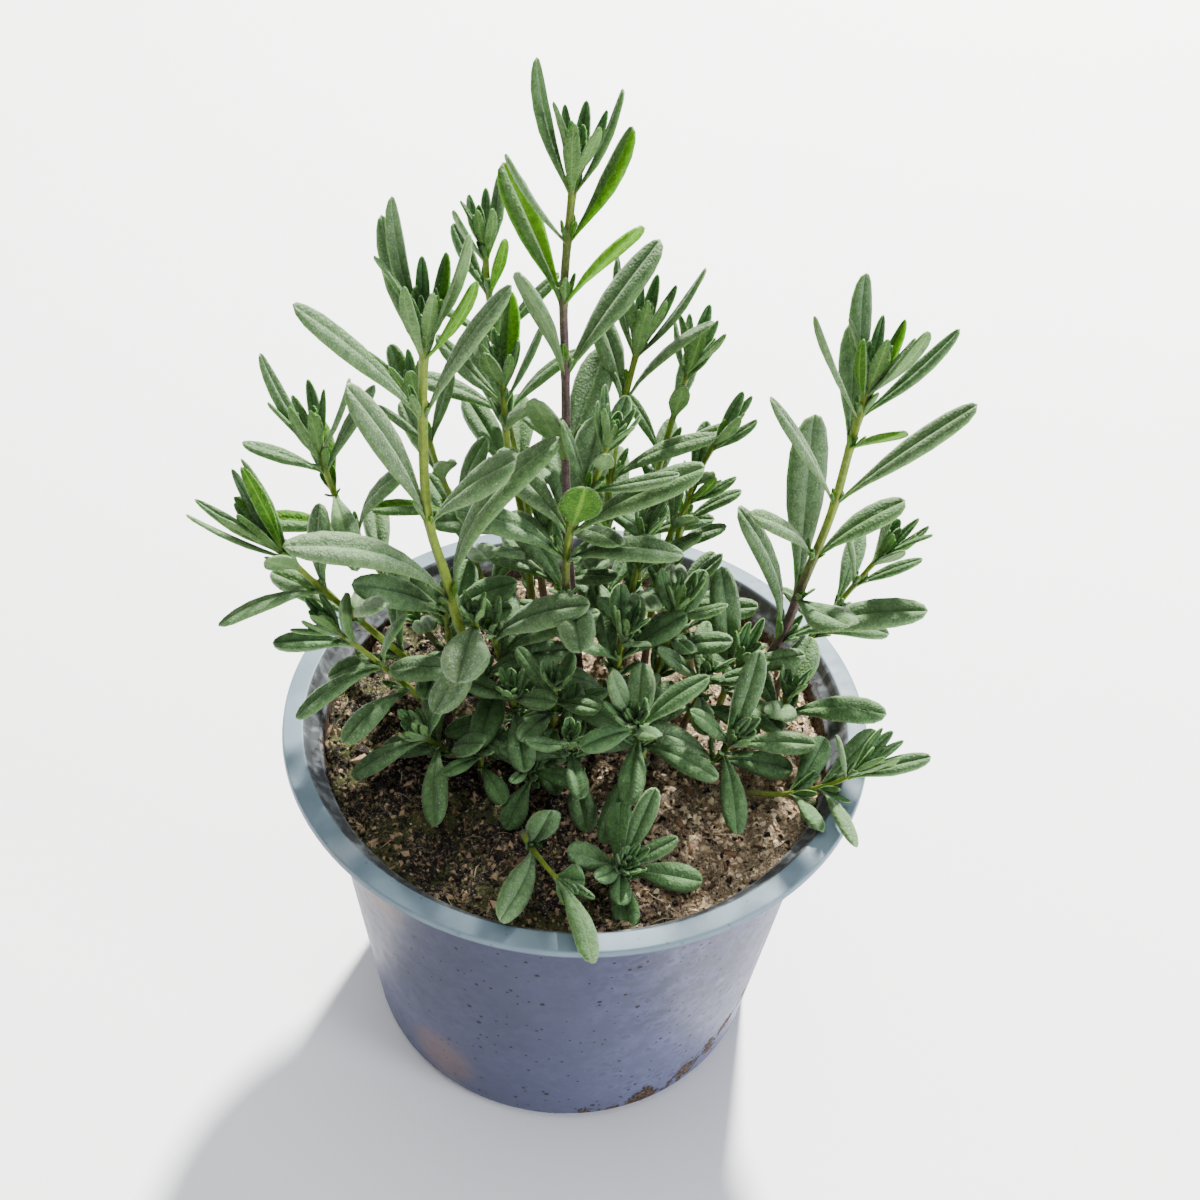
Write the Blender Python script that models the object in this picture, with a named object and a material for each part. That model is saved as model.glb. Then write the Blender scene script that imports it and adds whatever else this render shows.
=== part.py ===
"""Potted English lavender: a young plant of many leafy shoots in a thin plastic nursery pot.

The origin is the middle of the pot's base, +Z is up, and the front of the pot faces -Y.
Sizes in this file are millimetres and degrees. make_object turns them into metres.
"""
import math
import random

import bmesh
import bpy
from mathutils import Vector
from mathutils.bvhtree import BVHTree

MM = 0.001
GAP = 0.3

# Pot
RIM_RADIUS = 65.0
POT_HEIGHT = 92.0
LIP_WIDTH = 4.6
LIP_THICKNESS = 1.1
LIP_DROP = 2.4
WALL = 1.3
NECK_RADIUS = 57.6
COLLAR_HEIGHT = 9.0
COLLAR_STEP = 0.7
LIP_ROOT = 3.6
THROAT_DEPTH = 4.4
BASE_RADIUS = 47.5
BASE_CORNER = 3.0
FLOOR = 1.6
INNER_CORNER = 2.4
FOOT_WIDTH = 6.0
HUB_RADIUS = 16.0
FLOOR_RECESS = 1.4
DRAIN_HOLES = 6
DRAIN_RADIUS = 4.0
DRAIN_SIDES = 10
POT_SIDES = 32
CUTTER_OVERRUN = 5.0

# Soil
SOIL_TOP = 84.0
SOIL_LUMP = 0.9
SOIL_RINGS = 4
SOIL_SIDES = 24
SOIL_CLEARANCE = 0.5
HOLE_DEPTH = 14.0
HOLE_CLEARANCE = 0.35

# Shoots
STEM_SIDES = 4
SHORTEST_STRETCH = 3.5
LONGEST_STRETCH = 34.0
STEM_FOOT_RADIUS = 1.35
STEM_TIP_RADIUS = 0.85
CURVE_STEPS = 12
LEAF_THICKNESS = 1.0
LEAF_CLEARANCE = 0.45
LARGE_LEAF = 21.0
SMALL_LEAF = 12.5
WIDEST_AT = 0.6
LEAF_NECK = 0.2
TURN_TO_SKY = 0.7

POT_COLOUR = (0.42, 0.46, 0.58)
SOIL_COLOUR = (0.055, 0.035, 0.022)
LEAF_COLOUR = (0.10, 0.19, 0.075)


class Shoot:
    """One leafy stem: the points it passes through above its foot, and its leaf pairs.

    A pair is (place along the stem 0..1, azimuth, spread, length, spread, length, width, arch):
    the first spread and length are the leaf at the azimuth, the second its opposite, and a
    length of 0 leaves the opposite out. The tuft holds the lengths of the young pairs at the tip.
    """

    def __init__(self, name, foot, points, pairs, tuft=(), thick=1.0):
        self.name = name
        self.foot = foot
        self.points = points
        self.pairs = pairs
        self.tuft = tuft
        self.thick = thick


def whorls(count, first, last, azimuth, spread, length, width):
    """Pairs that turn a quarter at each node, and grow shorter and more upright up the stem."""
    pairs = []
    for index in range(count):
        share = index / max(1, count - 1)
        place = first + (last - first) * share ** 0.85
        full = length * (0.82 + 0.5 * share - 0.72 * share * share)
        open_by = spread[0] + (spread[1] - spread[0]) * share
        turn = azimuth + 90 * index
        arch = 0.16 * (1 - share)
        pairs.append((place, turn, open_by, full, open_by - 6, full * 0.92, width * (1 - 0.3 * share), arch))
    return pairs


SHOOTS = [
    Shoot("tall_centre", (0, 12), [(-4, 12, 130), (-6, 12, 172), (-7, 12, 192), (-6, 12, 215)], [
        (0.14, 120, 70, 19, 66, 0, 5.4, 0.12),
        (0.36, 100, 62, 26, 60, 25, 7.0, 0.12),
        (0.52, 248, 28, 25, 50, 24, 7.6, 0.02),
        (0.68, 218, 20, 27, 46, 31, 8.0, 0.04),
        (0.80, 330, 36, 26, 28, 28, 7.4, 0.03),
        (0.90, 20, 24, 24, 34, 22, 5.4, -0.03),
        (0.975, 170, 19, 25, 17, 22, 5.4, -0.04),
    ], tuft=(16, 10), thick=1.0),
    Shoot("tall_left", (-21, 7),
          [(-26, -2, 118), (-28, -5, 133), (-31, -9, 153), (-31, -12, 178), (-30, -14, 196)], [
        (0.38, 200, 44, 41, 36, 46, 8.6, 0.15),
        (0.60, 172, 15, 37, 43, 28, 8.8, 0.06),
        (0.84, 190, 38, 34, 27, 33, 7.0, 0.05),
        (0.965, 320, 24, 25, 25, 26, 5.8, -0.03),
        (1.0, 150, 15, 27, 16, 27, 5.2, -0.04),
    ], tuft=(19, 12), thick=1.1),
    Shoot("tall_right", (38, 14),
          [(41, 11, 98), (44, 9, 110), (46, 7, 126), (49, 5, 148), (50, 4, 165), (51, 3, 180)], [
        (0.25, 350, 46, 34, 31, 40, 7.8, 0.10),
        (0.40, 112, 21, 42, 55, 22, 8.8, 0.02),
        (0.53, 20, 46, 22, 50, 24, 6.4, 0.10),
        (0.70, 180, 36, 30, 36, 35, 6.4, 0.03),
        (0.85, 110, 22, 25, 42, 22, 7.2, 0.02),
        (0.93, 10, 34, 25, 30, 27, 5.6, -0.02),
        (0.985, 132, 17, 24, 22, 22, 6.6, -0.03),
    ], tuft=(17, 11), thick=1.1),
    Shoot("far_left", (-29, 2), [(-32, 0, 98), (-40, -3, 111), (-53, -6, 129), (-61, -6, 139)], [
        (0.40, 60, 55, 22, 60, 20, 6.2, 0.12),
        (0.62, 150, 50, 22, 60, 24, 6.2, 0.12),
        (0.80, 225, 52, 24, 45, 18, 6.2, 0.10),
        (0.92, 300, 50, 18, 30, 19, 5.0, 0.03),
    ], tuft=(22, 14), thick=0.9),
    Shoot("left_back", (-30, 17), [(-40, 16, 106), (-48, 15, 123), (-53, 14, 137), (-56, 14, 149)], [
        (0.24, 130, 66, 17, 64, 17, 5.2, 0.12),
        (0.45, 90, 60, 21, 60, 20, 5.8, 0.12),
        (0.66, 0, 50, 23, 62, 23, 6.0, 0.12),
        (0.84, 275, 82, 26, 35, 17, 5.6, 0.14),
        (0.93, 190, 50, 18, 41, 23, 5.8, 0.05),
        (1.0, 168, 10, 25, 34, 22, 4.8, -0.03),
    ], tuft=(17, 11), thick=0.85),
    Shoot("back_tip", (-9, 36), [(-14, 36, 120), (-20, 37, 150), (-23, 38, 173), (-24, 38, 185)], [
        (0.16, 80, 70, 18, 66, 0, 5.2, 0.12),
        (0.28, 190, 66, 20, 64, 19, 5.6, 0.12),
        (0.42, 90, 60, 22, 60, 22, 6.4, 0.12),
        (0.60, 0, 52, 23, 55, 22, 6.4, 0.08),
        (0.78, 15, 48, 20, 45, 19, 5.8, 0.04),
        (0.89, 320, 22, 16, 30, 16, 5.0, 0.0),
        (0.97, 40, 14, 18, 24, 15, 4.8, -0.02),
    ], tuft=(12,), thick=0.85),
    Shoot("heart", (-1, 6), [(-4, 3, 128), (-3, 0, 146), (1, -2, 159), (3, -3, 168)], [
        (0.45, 100, 70, 25, 70, 25, 7.4, 0.14),
        (0.58, 185, 66, 25, 62, 25, 7.6, 0.14),
        (0.68, 0, 40, 34, 55, 25, 7.8, 0.06),
        (0.72, 265, 18, 19, 45, 22, 8.4, 0.0),
        (0.84, 345, 40, 20, 40, 17, 4.8, 0.02),
        (0.92, 80, 34, 15, 34, 14, 4.2, 0.0),
    ], tuft=(12, 8), thick=0.9),
    Shoot("right_centre", (5, 27), [(4, 26, 125), (5, 25, 150), (8, 25, 172)], [
        (0.18, 60, 70, 18, 66, 0, 5.2, 0.12),
        (0.38, 85, 60, 24, 60, 24, 6.8, 0.12),
        (0.60, 0, 55, 26, 52, 25, 7.0, 0.10),
        (0.84, 340, 28, 29, 42, 20, 7.2, 0.08),
        (0.975, 170, 21, 22, 20, 25, 5.2, -0.03),
    ], tuft=(17, 11), thick=0.9),
    Shoot("middle_back", (-11, 25), [(-14, 25, 122), (-18, 25, 145), (-19, 25, 161)], [
        (0.24, 110, 66, 19, 64, 0, 5.6, 0.12),
        (0.45, 20, 60, 24, 60, 24, 6.8, 0.12),
        (0.66, 120, 52, 24, 55, 23, 6.2, 0.08),
        (0.85, 300, 46, 24, 36, 21, 5.8, 0.06),
        (0.94, 172, 42, 20, 22, 23, 5.4, 0.0),
        (1.0, 70, 14, 20, 30, 14, 4.8, -0.02),
    ], tuft=(13,), thick=0.85),
    Shoot("right_back_tip", (12, 33), [(13, 31, 122), (16, 30, 147), (19, 30, 164)],
          whorls(6, 0.20, 0.97, 80, (70, 24), 22, 5.6), tuft=(15,), thick=0.8),
    Shoot("right_back_middle", (20, 27), [(20, 26, 118), (22, 25, 137), (26, 25, 150)],
          whorls(5, 0.20, 0.96, 0, (70, 26), 20, 5.4), tuft=(13,), thick=0.8),
    Shoot("right_back_low", (15, 20), [(16, 20, 114), (18, 20, 128), (22, 20, 139)],
          whorls(4, 0.45, 0.96, 90, (62, 28), 20, 5.4), tuft=(12,), thick=0.8),
    Shoot("back_left", (-20, 28), [(-27, 26, 118), (-33, 24, 140), (-37, 22, 158)],
          whorls(6, 0.18, 0.97, 30, (70, 22), 24, 6.2), tuft=(14,), thick=0.85),
    Shoot("short_right", (26, 19), [(24, 18, 98), (21, 17, 109), (20, 16, 115)], [
        (0.55, 350, 66, 20, 66, 18, 5.8, 0.12),
        (0.78, 250, 60, 18, 50, 18, 5.6, 0.10),
        (0.90, 172, 46, 17, 26, 20, 5.2, 0.03),
    ], tuft=(10,), thick=0.8),
    Shoot("right_inner", (32, 7), [(33, 6, 96), (35, 5, 104)], [
        (0.50, 125, 25, 31, 66, 20, 7.2, 0.08),
        (0.85, 30, 50, 18, 60, 17, 5.6, 0.08),
    ], tuft=(12, 8), thick=0.8),
    Shoot("right_low", (44, 1), [(45, 1, 92), (46, 1, 99)], [
        (0.55, 345, 62, 24, 60, 17, 7.2, 0.12),
        (0.85, 250, 62, 14, 50, 16, 7.8, 0.10),
    ], tuft=(9,), thick=0.8),
    Shoot("right_behind", (46, 16), [(51, 17, 100), (57, 17, 114), (63, 16, 128)],
          whorls(4, 0.40, 0.95, 0, (60, 26), 21, 5.2), tuft=(14,), thick=0.8),
    Shoot("right_front", (28, -11), [(30, -13, 92), (33, -15, 100)], [
        (0.48, 175, 76, 18, 70, 17, 6.2, 0.12),
        (0.75, 282, 84, 20, 32, 25, 5.8, 0.12),
        (0.97, 0, 62, 18, 56, 16, 5.6, 0.08),
    ], tuft=(10, 7), thick=0.8),
    Shoot("right_trail", (33, -18), [(37, -18, 88), (46, -19, 89.5), (55, -21, 96), (59, -21, 100)], [
        (0.48, 286, 56, 19, 60, 15, 6.2, 0.10),
        (0.71, 272, 60, 20, 40, 17, 5.0, 0.08),
        (0.93, 0, 22, 18, 60, 12, 5.0, 0.03),
    ], tuft=(12,), thick=0.7),
    Shoot("front_middle", (15, -12), [(14, -16, 98), (12, -22, 112)], [
        (0.34, 248, 92, 21, 74, 17, 5.8, 0.12),
        (0.54, 330, 78, 19, 66, 17, 5.6, 0.14),
        (0.72, 262, 80, 16, 50, 16, 5.8, 0.12),
        (0.86, 212, 62, 14, 66, 19, 5.4, 0.12),
        (0.97, 125, 14, 20, 36, 14, 4.8, 0.0),
    ], tuft=(10,), thick=0.8),
    Shoot("front_rosette", (9, -39), [(10, -41, 88), (11, -42.5, 91)], [
        (0.52, 285, 74, 13, 70, 14, 5.8, 0.08),
        (0.72, 352, 66, 17, 72, 13, 6.0, 0.08),
        (0.88, 88, 46, 19, 60, 10, 4.8, 0.04),
        (0.97, 35, 52, 13, 56, 10, 4.2, 0.04),
    ], tuft=(8, 5), thick=0.7),
    Shoot("front_trail", (-10, -31), [(-9, -36, 90), (-6, -43, 93), (-2, -49, 94)], [
        (0.42, 105, 50, 15, 64, 0, 6.6, 0.10),
        (0.53, 228, 37, 22, 66, 0, 6.8, 0.12),
        (0.97, 283, 14, 22, 40, 6, 6.2, 0.10),
    ], thick=0.75),
    Shoot("centre_front", (-12, -5), [(-13, -8, 97), (-14, -11, 107)], [
        (0.30, 300, 92, 18, 84, 16, 5.6, 0.14),
        (0.50, 20, 82, 18, 78, 16, 5.8, 0.14),
        (0.70, 280, 86, 17, 70, 14, 5.8, 0.12),
        (0.90, 350, 66, 13, 64, 12, 5.2, 0.10),
    ], tuft=(8, 5), thick=0.8),
    Shoot("left_dome", (-21, -1), [(-21, -5, 107), (-22, -9, 126)], [
        (0.30, 290, 84, 19, 80, 19, 6.6, 0.14),
        (0.50, 190, 74, 20, 70, 20, 6.8, 0.14),
        (0.70, 242, 88, 17, 60, 16, 7.8, 0.14),
        (0.95, 262, 80, 16, 48, 0, 10.5, 0.16),
    ], tuft=(9,), thick=0.9),
    Shoot("left_dark", (-28, 10), [(-29, 6, 106), (-29, 1, 119)], [
        (0.50, 80, 66, 20, 66, 20, 6.8, 0.14),
        (0.74, 150, 64, 22, 60, 20, 7.2, 0.12),
        (0.95, 185, 50, 24, 58, 18, 7.8, 0.12),
    ], tuft=(10,), thick=0.85),
    Shoot("middle_dark", (-14, 3), [(-17, -1, 107), (-19, -5, 119)], [
        (0.46, 90, 72, 21, 72, 20, 7.0, 0.14),
        (0.70, 10, 74, 25, 68, 18, 7.2, 0.14),
        (0.92, 0, 56, 27, 62, 16, 8.0, 0.12),
    ], tuft=(10,), thick=0.85),
    Shoot("left_low", (-28, -5), [(-34, -6, 99), (-44, -8, 113), (-50, -9, 120)], [
        (0.45, 232, 66, 20, 62, 18, 6.0, 0.12),
        (0.68, 212, 68, 21, 56, 18, 5.8, 0.12),
        (0.90, 180, 52, 17, 46, 16, 5.4, 0.08),
    ], tuft=(11,), thick=0.8),
    Shoot("left_front", (-22, -11), [(-27, -14, 91), (-32, -16, 98)], [
        (0.48, 350, 74, 16, 70, 16, 6.0, 0.12),
        (0.72, 268, 86, 20, 56, 16, 6.2, 0.10),
        (0.95, 200, 76, 18, 56, 15, 5.6, 0.10),
    ], tuft=(9, 6), thick=0.8),
    Shoot("fill_centre", (5, 2), [(7, -1, 100), (9, -3, 118)],
          whorls(4, 0.38, 0.95, 20, (80, 40), 23, 7.2), tuft=(10,), thick=0.85),
    Shoot("fill_right", (14, 6), [(17, 4, 102), (20, 3, 121)],
          whorls(4, 0.38, 0.95, 60, (76, 38), 21, 6.6), tuft=(10,), thick=0.8),
    Shoot("fill_front", (0, -14), [(-1, -18, 95), (-1, -22, 105)],
          whorls(4, 0.34, 0.93, 282, (94, 58), 18, 5.8), tuft=(8,), thick=0.8),
    Shoot("fill_low_left", (-20, -15), [(-20, -17, 91), (-20, -18, 98)],
          whorls(3, 0.45, 0.92, 300, (88, 50), 13, 4.6), tuft=(7,), thick=0.7),
    Shoot("fill_low_middle", (-9, -17), [(-9, -20, 92), (-10, -22, 98)],
          whorls(3, 0.42, 0.92, 250, (92, 56), 15, 5.4), tuft=(7,), thick=0.7),
    Shoot("fill_middle", (-5, -6), [(-5, -9, 98), (-5, -13, 112)],
          whorls(4, 0.36, 0.94, 330, (88, 48), 17, 5.4), tuft=(9,), thick=0.8),
    Shoot("fill_far_right", (24, 2), [(26, -1, 98), (28, -3, 110)],
          whorls(4, 0.40, 0.95, 0, (76, 40), 19, 6.0), tuft=(10,), thick=0.8),
    Shoot("fill_back", (-3, 19), [(-6, 18, 112), (-9, 17, 130)],
          whorls(4, 0.42, 0.95, 45, (70, 36), 23, 6.8), tuft=(11,), thick=0.8),
    Shoot("fill_back_right", (8, 16), [(10, 14, 112), (12, 13, 132)],
          whorls(4, 0.42, 0.95, 0, (70, 36), 23, 6.8), tuft=(11,), thick=0.8),
]

# A leaf that would touch another shoot is turned, lifted or shortened by the first of these
# that clears it: (turn, spread, share of its length)
LEAF_MOVES = [
    (0, 0, 1.0), (0, 8, 1.0), (0, -8, 1.0), (12, 0, 1.0), (-12, 0, 1.0),
    (14, 10, 1.0), (-14, 10, 1.0), (14, -10, 1.0), (-14, -10, 1.0), (0, 18, 0.95),
    (0, -16, 0.95), (26, 0, 0.9), (-26, 0, 0.9), (24, 14, 0.85), (-24, 14, 0.85),
    (0, 0, 0.8), (38, 0, 0.8), (-38, 0, 0.8), (0, 26, 0.75), (0, -26, 0.75),
    (20, -18, 0.7), (-20, -18, 0.7), (50, 8, 0.7), (-50, 8, 0.7), (0, 0, 0.6),
    (30, 0, 0.55), (-30, 0, 0.55), (0, -20, 0.5), (0, 20, 0.5),
]


def clear_scene():
    for item in list(bpy.data.objects):
        bpy.data.objects.remove(item, do_unlink=True)


def make_material(name, colour, roughness):
    material = bpy.data.materials.new(name)
    material.use_nodes = True
    shader = material.node_tree.nodes["Principled BSDF"]
    shader.inputs["Base Color"].default_value = (*colour, 1.0)
    shader.inputs["Roughness"].default_value = roughness
    shader.inputs["Metallic"].default_value = 0.0
    return material


def make_object(name, points, faces, material=None, collection=None):
    """An object from points in millimetres, with its faces turned outwards."""
    mesh = bpy.data.meshes.new(name)
    mesh.from_pydata([Vector(point) * MM for point in points], [], faces)
    shape = bmesh.new()
    shape.from_mesh(mesh)
    bmesh.ops.recalc_face_normals(shape, faces=shape.faces)
    shape.to_mesh(mesh)
    shape.free()
    item = bpy.data.objects.new(name, mesh)
    if material:
        mesh.materials.append(material)
    (collection or bpy.context.scene.collection).objects.link(item)
    return item


def turned(profile, sides):
    """Points and faces of a profile of (radius, height) turned about Z, closed at its ends."""
    points = []
    rings = []
    for radius, height in profile:
        if radius == 0:
            rings.append([len(points)] * sides)
            points.append((0, 0, height))
            continue
        rings.append(list(range(len(points), len(points) + sides)))
        for side in range(sides):
            angle = 2 * math.pi * side / sides
            points.append((radius * math.cos(angle), radius * math.sin(angle), height))
    faces = []
    for lower, upper in zip(rings, rings[1:]):
        for side in range(sides):
            after = (side + 1) % sides
            corners = [lower[side], lower[after], upper[after], upper[side]]
            faces.append(list(dict.fromkeys(corners)))
    return points, faces


def pot_outline():
    """Outside from the middle of the base up to the lip, then down the inside to the floor."""
    lip_inner = RIM_RADIUS - LIP_WIDTH
    collar_low = POT_HEIGHT - COLLAR_HEIGHT
    recess_out = BASE_RADIUS - FOOT_WIDTH
    slope = (NECK_RADIUS - COLLAR_STEP - BASE_RADIUS) / (collar_low - BASE_CORNER)
    floor_top = FLOOR_RECESS + FLOOR
    inner_low = BASE_RADIUS - WALL + slope * (floor_top - BASE_CORNER)
    outside = [
        (0, 0), (HUB_RADIUS, 0), (HUB_RADIUS + 1, FLOOR_RECESS), (recess_out - 1, FLOOR_RECESS),
        (recess_out, 0), (BASE_RADIUS - BASE_CORNER * 0.9, 0), (BASE_RADIUS, BASE_CORNER),
        (NECK_RADIUS - COLLAR_STEP, collar_low), (NECK_RADIUS, collar_low + 0.8),
        (NECK_RADIUS + 0.3, POT_HEIGHT - LIP_ROOT), (lip_inner, POT_HEIGHT - LIP_THICKNESS),
        (RIM_RADIUS - 1.0, POT_HEIGHT - LIP_THICKNESS), (RIM_RADIUS - 0.9, POT_HEIGHT - LIP_DROP),
        (RIM_RADIUS, POT_HEIGHT - LIP_DROP), (RIM_RADIUS - 0.3, POT_HEIGHT),
    ]
    throat = NECK_RADIUS - WALL
    inside = [
        (lip_inner, POT_HEIGHT), (NECK_RADIUS + 0.2, POT_HEIGHT - 1.6),
        (throat, POT_HEIGHT - THROAT_DEPTH), (throat - 0.2, collar_low + 0.4),
        (throat - COLLAR_STEP, collar_low - 0.6),
        (inner_low, floor_top + INNER_CORNER), (inner_low - INNER_CORNER, floor_top), (0, floor_top),
    ]
    return outside + inside


def inner_radius(height):
    """Radius of the pot's inner wall at a height below the collar."""
    collar_low = POT_HEIGHT - COLLAR_HEIGHT
    top = NECK_RADIUS - WALL - COLLAR_STEP
    low = BASE_RADIUS - WALL
    return low + (top - low) * (height - BASE_CORNER) / (collar_low - BASE_CORNER)


def add_boolean(item, operation, operand):
    """One exact Boolean on an object, with an object or a whole collection."""
    modifier = item.modifiers.new(operation.title(), "BOOLEAN")
    modifier.operation = operation
    modifier.solver = "EXACT"
    if isinstance(operand, bpy.types.Collection):
        modifier.operand_type = "COLLECTION"
        modifier.collection = operand
    else:
        modifier.object = operand


def make_cutter(name, centre, radius, low, high, sides, collection):
    """An upright prism that a Boolean takes away, kept out of view."""
    points, faces = turned([(0, low), (radius, low), (radius, high), (0, high)], sides)
    shift = Vector((*centre, 0))
    cutter = make_object(name, [Vector(point) + shift for point in points], faces, collection=collection)
    cutter.hide_render = True
    cutter.display_type = "WIRE"


def build_pot():
    points, faces = turned(pot_outline(), POT_SIDES)
    material = make_material("pot_plastic", POT_COLOUR, 0.45)
    pot = make_object("pot", points, faces, material)
    cutters = bpy.data.collections.new("drain_cutters")
    bpy.context.scene.collection.children.link(cutters)
    ring = (HUB_RADIUS + BASE_RADIUS - FOOT_WIDTH) / 2
    top = FLOOR_RECESS + FLOOR + CUTTER_OVERRUN
    for hole in range(DRAIN_HOLES):
        angle = 2 * math.pi * (hole + 0.5) / DRAIN_HOLES
        centre = (ring * math.cos(angle), ring * math.sin(angle))
        make_cutter(f"drain_cutter_{hole + 1}", centre, DRAIN_RADIUS, -CUTTER_OVERRUN, top,
                    DRAIN_SIDES, cutters)
    add_boolean(pot, "DIFFERENCE", cutters)
    pot.data.shade_smooth()
    pot.data.set_sharp_from_angle(angle=math.radians(35))
    return pot


def soil_height(x, y):
    """The soil's uneven top: low mounds of two sizes, flat towards the wall."""
    broad = math.sin(x * 0.11 + 1.0) * math.cos(y * 0.13 - 0.4)
    small = math.sin(x * 0.37 + y * 0.21) * math.cos(y * 0.41 - x * 0.15)
    return SOIL_TOP + SOIL_LUMP * (0.7 * broad + 0.5 * small)


def soil_solid():
    """Points and faces of the soil: a plain plug that fills the pot, with its lumpy top."""
    edge = NECK_RADIUS - WALL - 0.2 - GAP - 0.4
    low = FLOOR_RECESS + FLOOR + GAP
    corner = low + INNER_CORNER + GAP
    shoulder = POT_HEIGHT - COLLAR_HEIGHT - 1.5
    profile = [(0, low), (inner_radius(low) - INNER_CORNER - SOIL_CLEARANCE, low)]
    profile.append((inner_radius(corner) - SOIL_CLEARANCE, corner))
    profile.append((inner_radius(shoulder) - SOIL_CLEARANCE, shoulder))
    for ring in range(SOIL_RINGS):
        profile.append((edge * (1 - ring / SOIL_RINGS), SOIL_TOP))
    profile.append((0, SOIL_TOP))
    points, faces = turned(profile, SOIL_SIDES)
    lumpy = []
    for x, y, z in points:
        lumpy.append((x, y, soil_height(x, y) if z == SOIL_TOP else z))
    return lumpy, faces


def build_soil():
    points, faces = soil_solid()
    soil = make_object("soil", points, faces, make_material("peat_soil", SOIL_COLOUR, 0.95))
    cutters = bpy.data.collections.new("stem_hole_cutters")
    bpy.context.scene.collection.children.link(cutters)
    for shoot in SHOOTS:
        radius = STEM_FOOT_RADIUS * shoot.thick + HOLE_CLEARANCE / math.cos(math.pi / STEM_SIDES)
        make_cutter("hole_cutter_" + shoot.name, shoot.foot, radius, SOIL_TOP - HOLE_DEPTH,
                    SOIL_TOP + CUTTER_OVERRUN, STEM_SIDES, cutters)
    add_boolean(soil, "DIFFERENCE", cutters)
    return soil


class StemCurve:
    """The smooth curve that a stem follows: upright in its hole, then through its points."""

    def __init__(self, shoot):
        x, y = shoot.foot
        bury = SOIL_TOP - HOLE_DEPTH + GAP
        knots = [Vector((x, y, bury)), Vector((x, y, SOIL_TOP + 1.6))]
        knots += [Vector(point) for point in shoot.points]
        self.line = [knots[0]]
        for index in range(1, len(knots) - 1):
            before = knots[index - 1]
            after = knots[min(index + 2, len(knots) - 1)]
            leave = (knots[index + 1] - before) * 0.5
            if index == 1:
                leave = Vector((0, 0, (knots[2] - knots[1]).length * 0.7))
            arrive = (after - knots[index]) * 0.5
            self.add_span(knots[index], knots[index + 1], leave, arrive)
        self.foot_radius = STEM_FOOT_RADIUS * shoot.thick
        self.tip_radius = STEM_TIP_RADIUS * shoot.thick
        self.lengths = [0.0]
        for start, end in zip(self.line, self.line[1:]):
            self.lengths.append(self.lengths[-1] + (end - start).length)
        self.above = self.lengths[1]
        self.total = self.lengths[-1]
        self.stretches = self.find_stretches([pair[0] for pair in shoot.pairs])

    def add_span(self, start, end, leave, arrive):
        first = 0 if len(self.line) == 1 else 1
        for step in range(first, CURVE_STEPS + 1):
            t = step / CURVE_STEPS
            point = start * (2 * t ** 3 - 3 * t ** 2 + 1) + leave * (t ** 3 - 2 * t ** 2 + t)
            point += end * (3 * t ** 2 - 2 * t ** 3) + arrive * (t ** 3 - t ** 2)
            self.line.append(point)

    def find_stretches(self, nodes):
        """Shares 0..1 of the stem between its straight stretches: at its leaves, and at long gaps."""
        span = self.total - self.above
        shares = [0.0]
        for share in nodes + [1.0]:
            gap = (share - shares[-1]) * span
            if gap > LONGEST_STRETCH:
                shares.append((share + shares[-1]) / 2)
            if gap > SHORTEST_STRETCH and (share == 1.0 or (1 - share) * span > SHORTEST_STRETCH):
                shares.append(share)
        if shares[-1] != 1.0:
            shares.append(1.0)
        return shares

    def at(self, distance):
        """Point and direction at a distance from the buried end."""
        distance = min(max(distance, 0.0), self.total)
        index = 1
        while index < len(self.lengths) - 1 and self.lengths[index] < distance:
            index += 1
        start = self.line[index - 1]
        end = self.line[index]
        share = (distance - self.lengths[index - 1]) / (self.lengths[index] - self.lengths[index - 1])
        return start.lerp(end, share), (end - start).normalized()

    def node(self, along):
        """Point, direction and radius at a share 0..1 of the stem above the soil."""
        point, direction = self.at(self.above + (self.total - self.above) * along)
        radius = self.foot_radius + (self.tip_radius - self.foot_radius) * along
        return point, direction, radius


def stem_solid(curve, swell=0.0):
    """A stem as a tapered tube with few sides, closed at both ends."""
    span = curve.total - curve.above
    stations = [(0.0, 0.0)] + [(curve.above + span * share, share) for share in curve.stretches]
    points = []
    across = Vector((1, 0, 0))
    for distance, share in stations:
        point, direction = curve.at(distance + 0.01)
        across = (across - direction * across.dot(direction)).normalized()
        other = direction.cross(across)
        radius = curve.foot_radius + (curve.tip_radius - curve.foot_radius) * share + swell
        for side in range(STEM_SIDES):
            angle = 2 * math.pi * side / STEM_SIDES
            points.append(point + across * radius * math.cos(angle) + other * radius * math.sin(angle))
    faces = [list(range(STEM_SIDES))[::-1]]
    for ring in range(len(stations) - 1):
        low = ring * STEM_SIDES
        for side in range(STEM_SIDES):
            after = (side + 1) % STEM_SIDES
            faces.append([low + side, low + after, low + STEM_SIDES + after, low + STEM_SIDES + side])
    last = len(points) - STEM_SIDES
    faces.append(list(range(last, last + STEM_SIDES)))
    return points, faces


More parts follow.
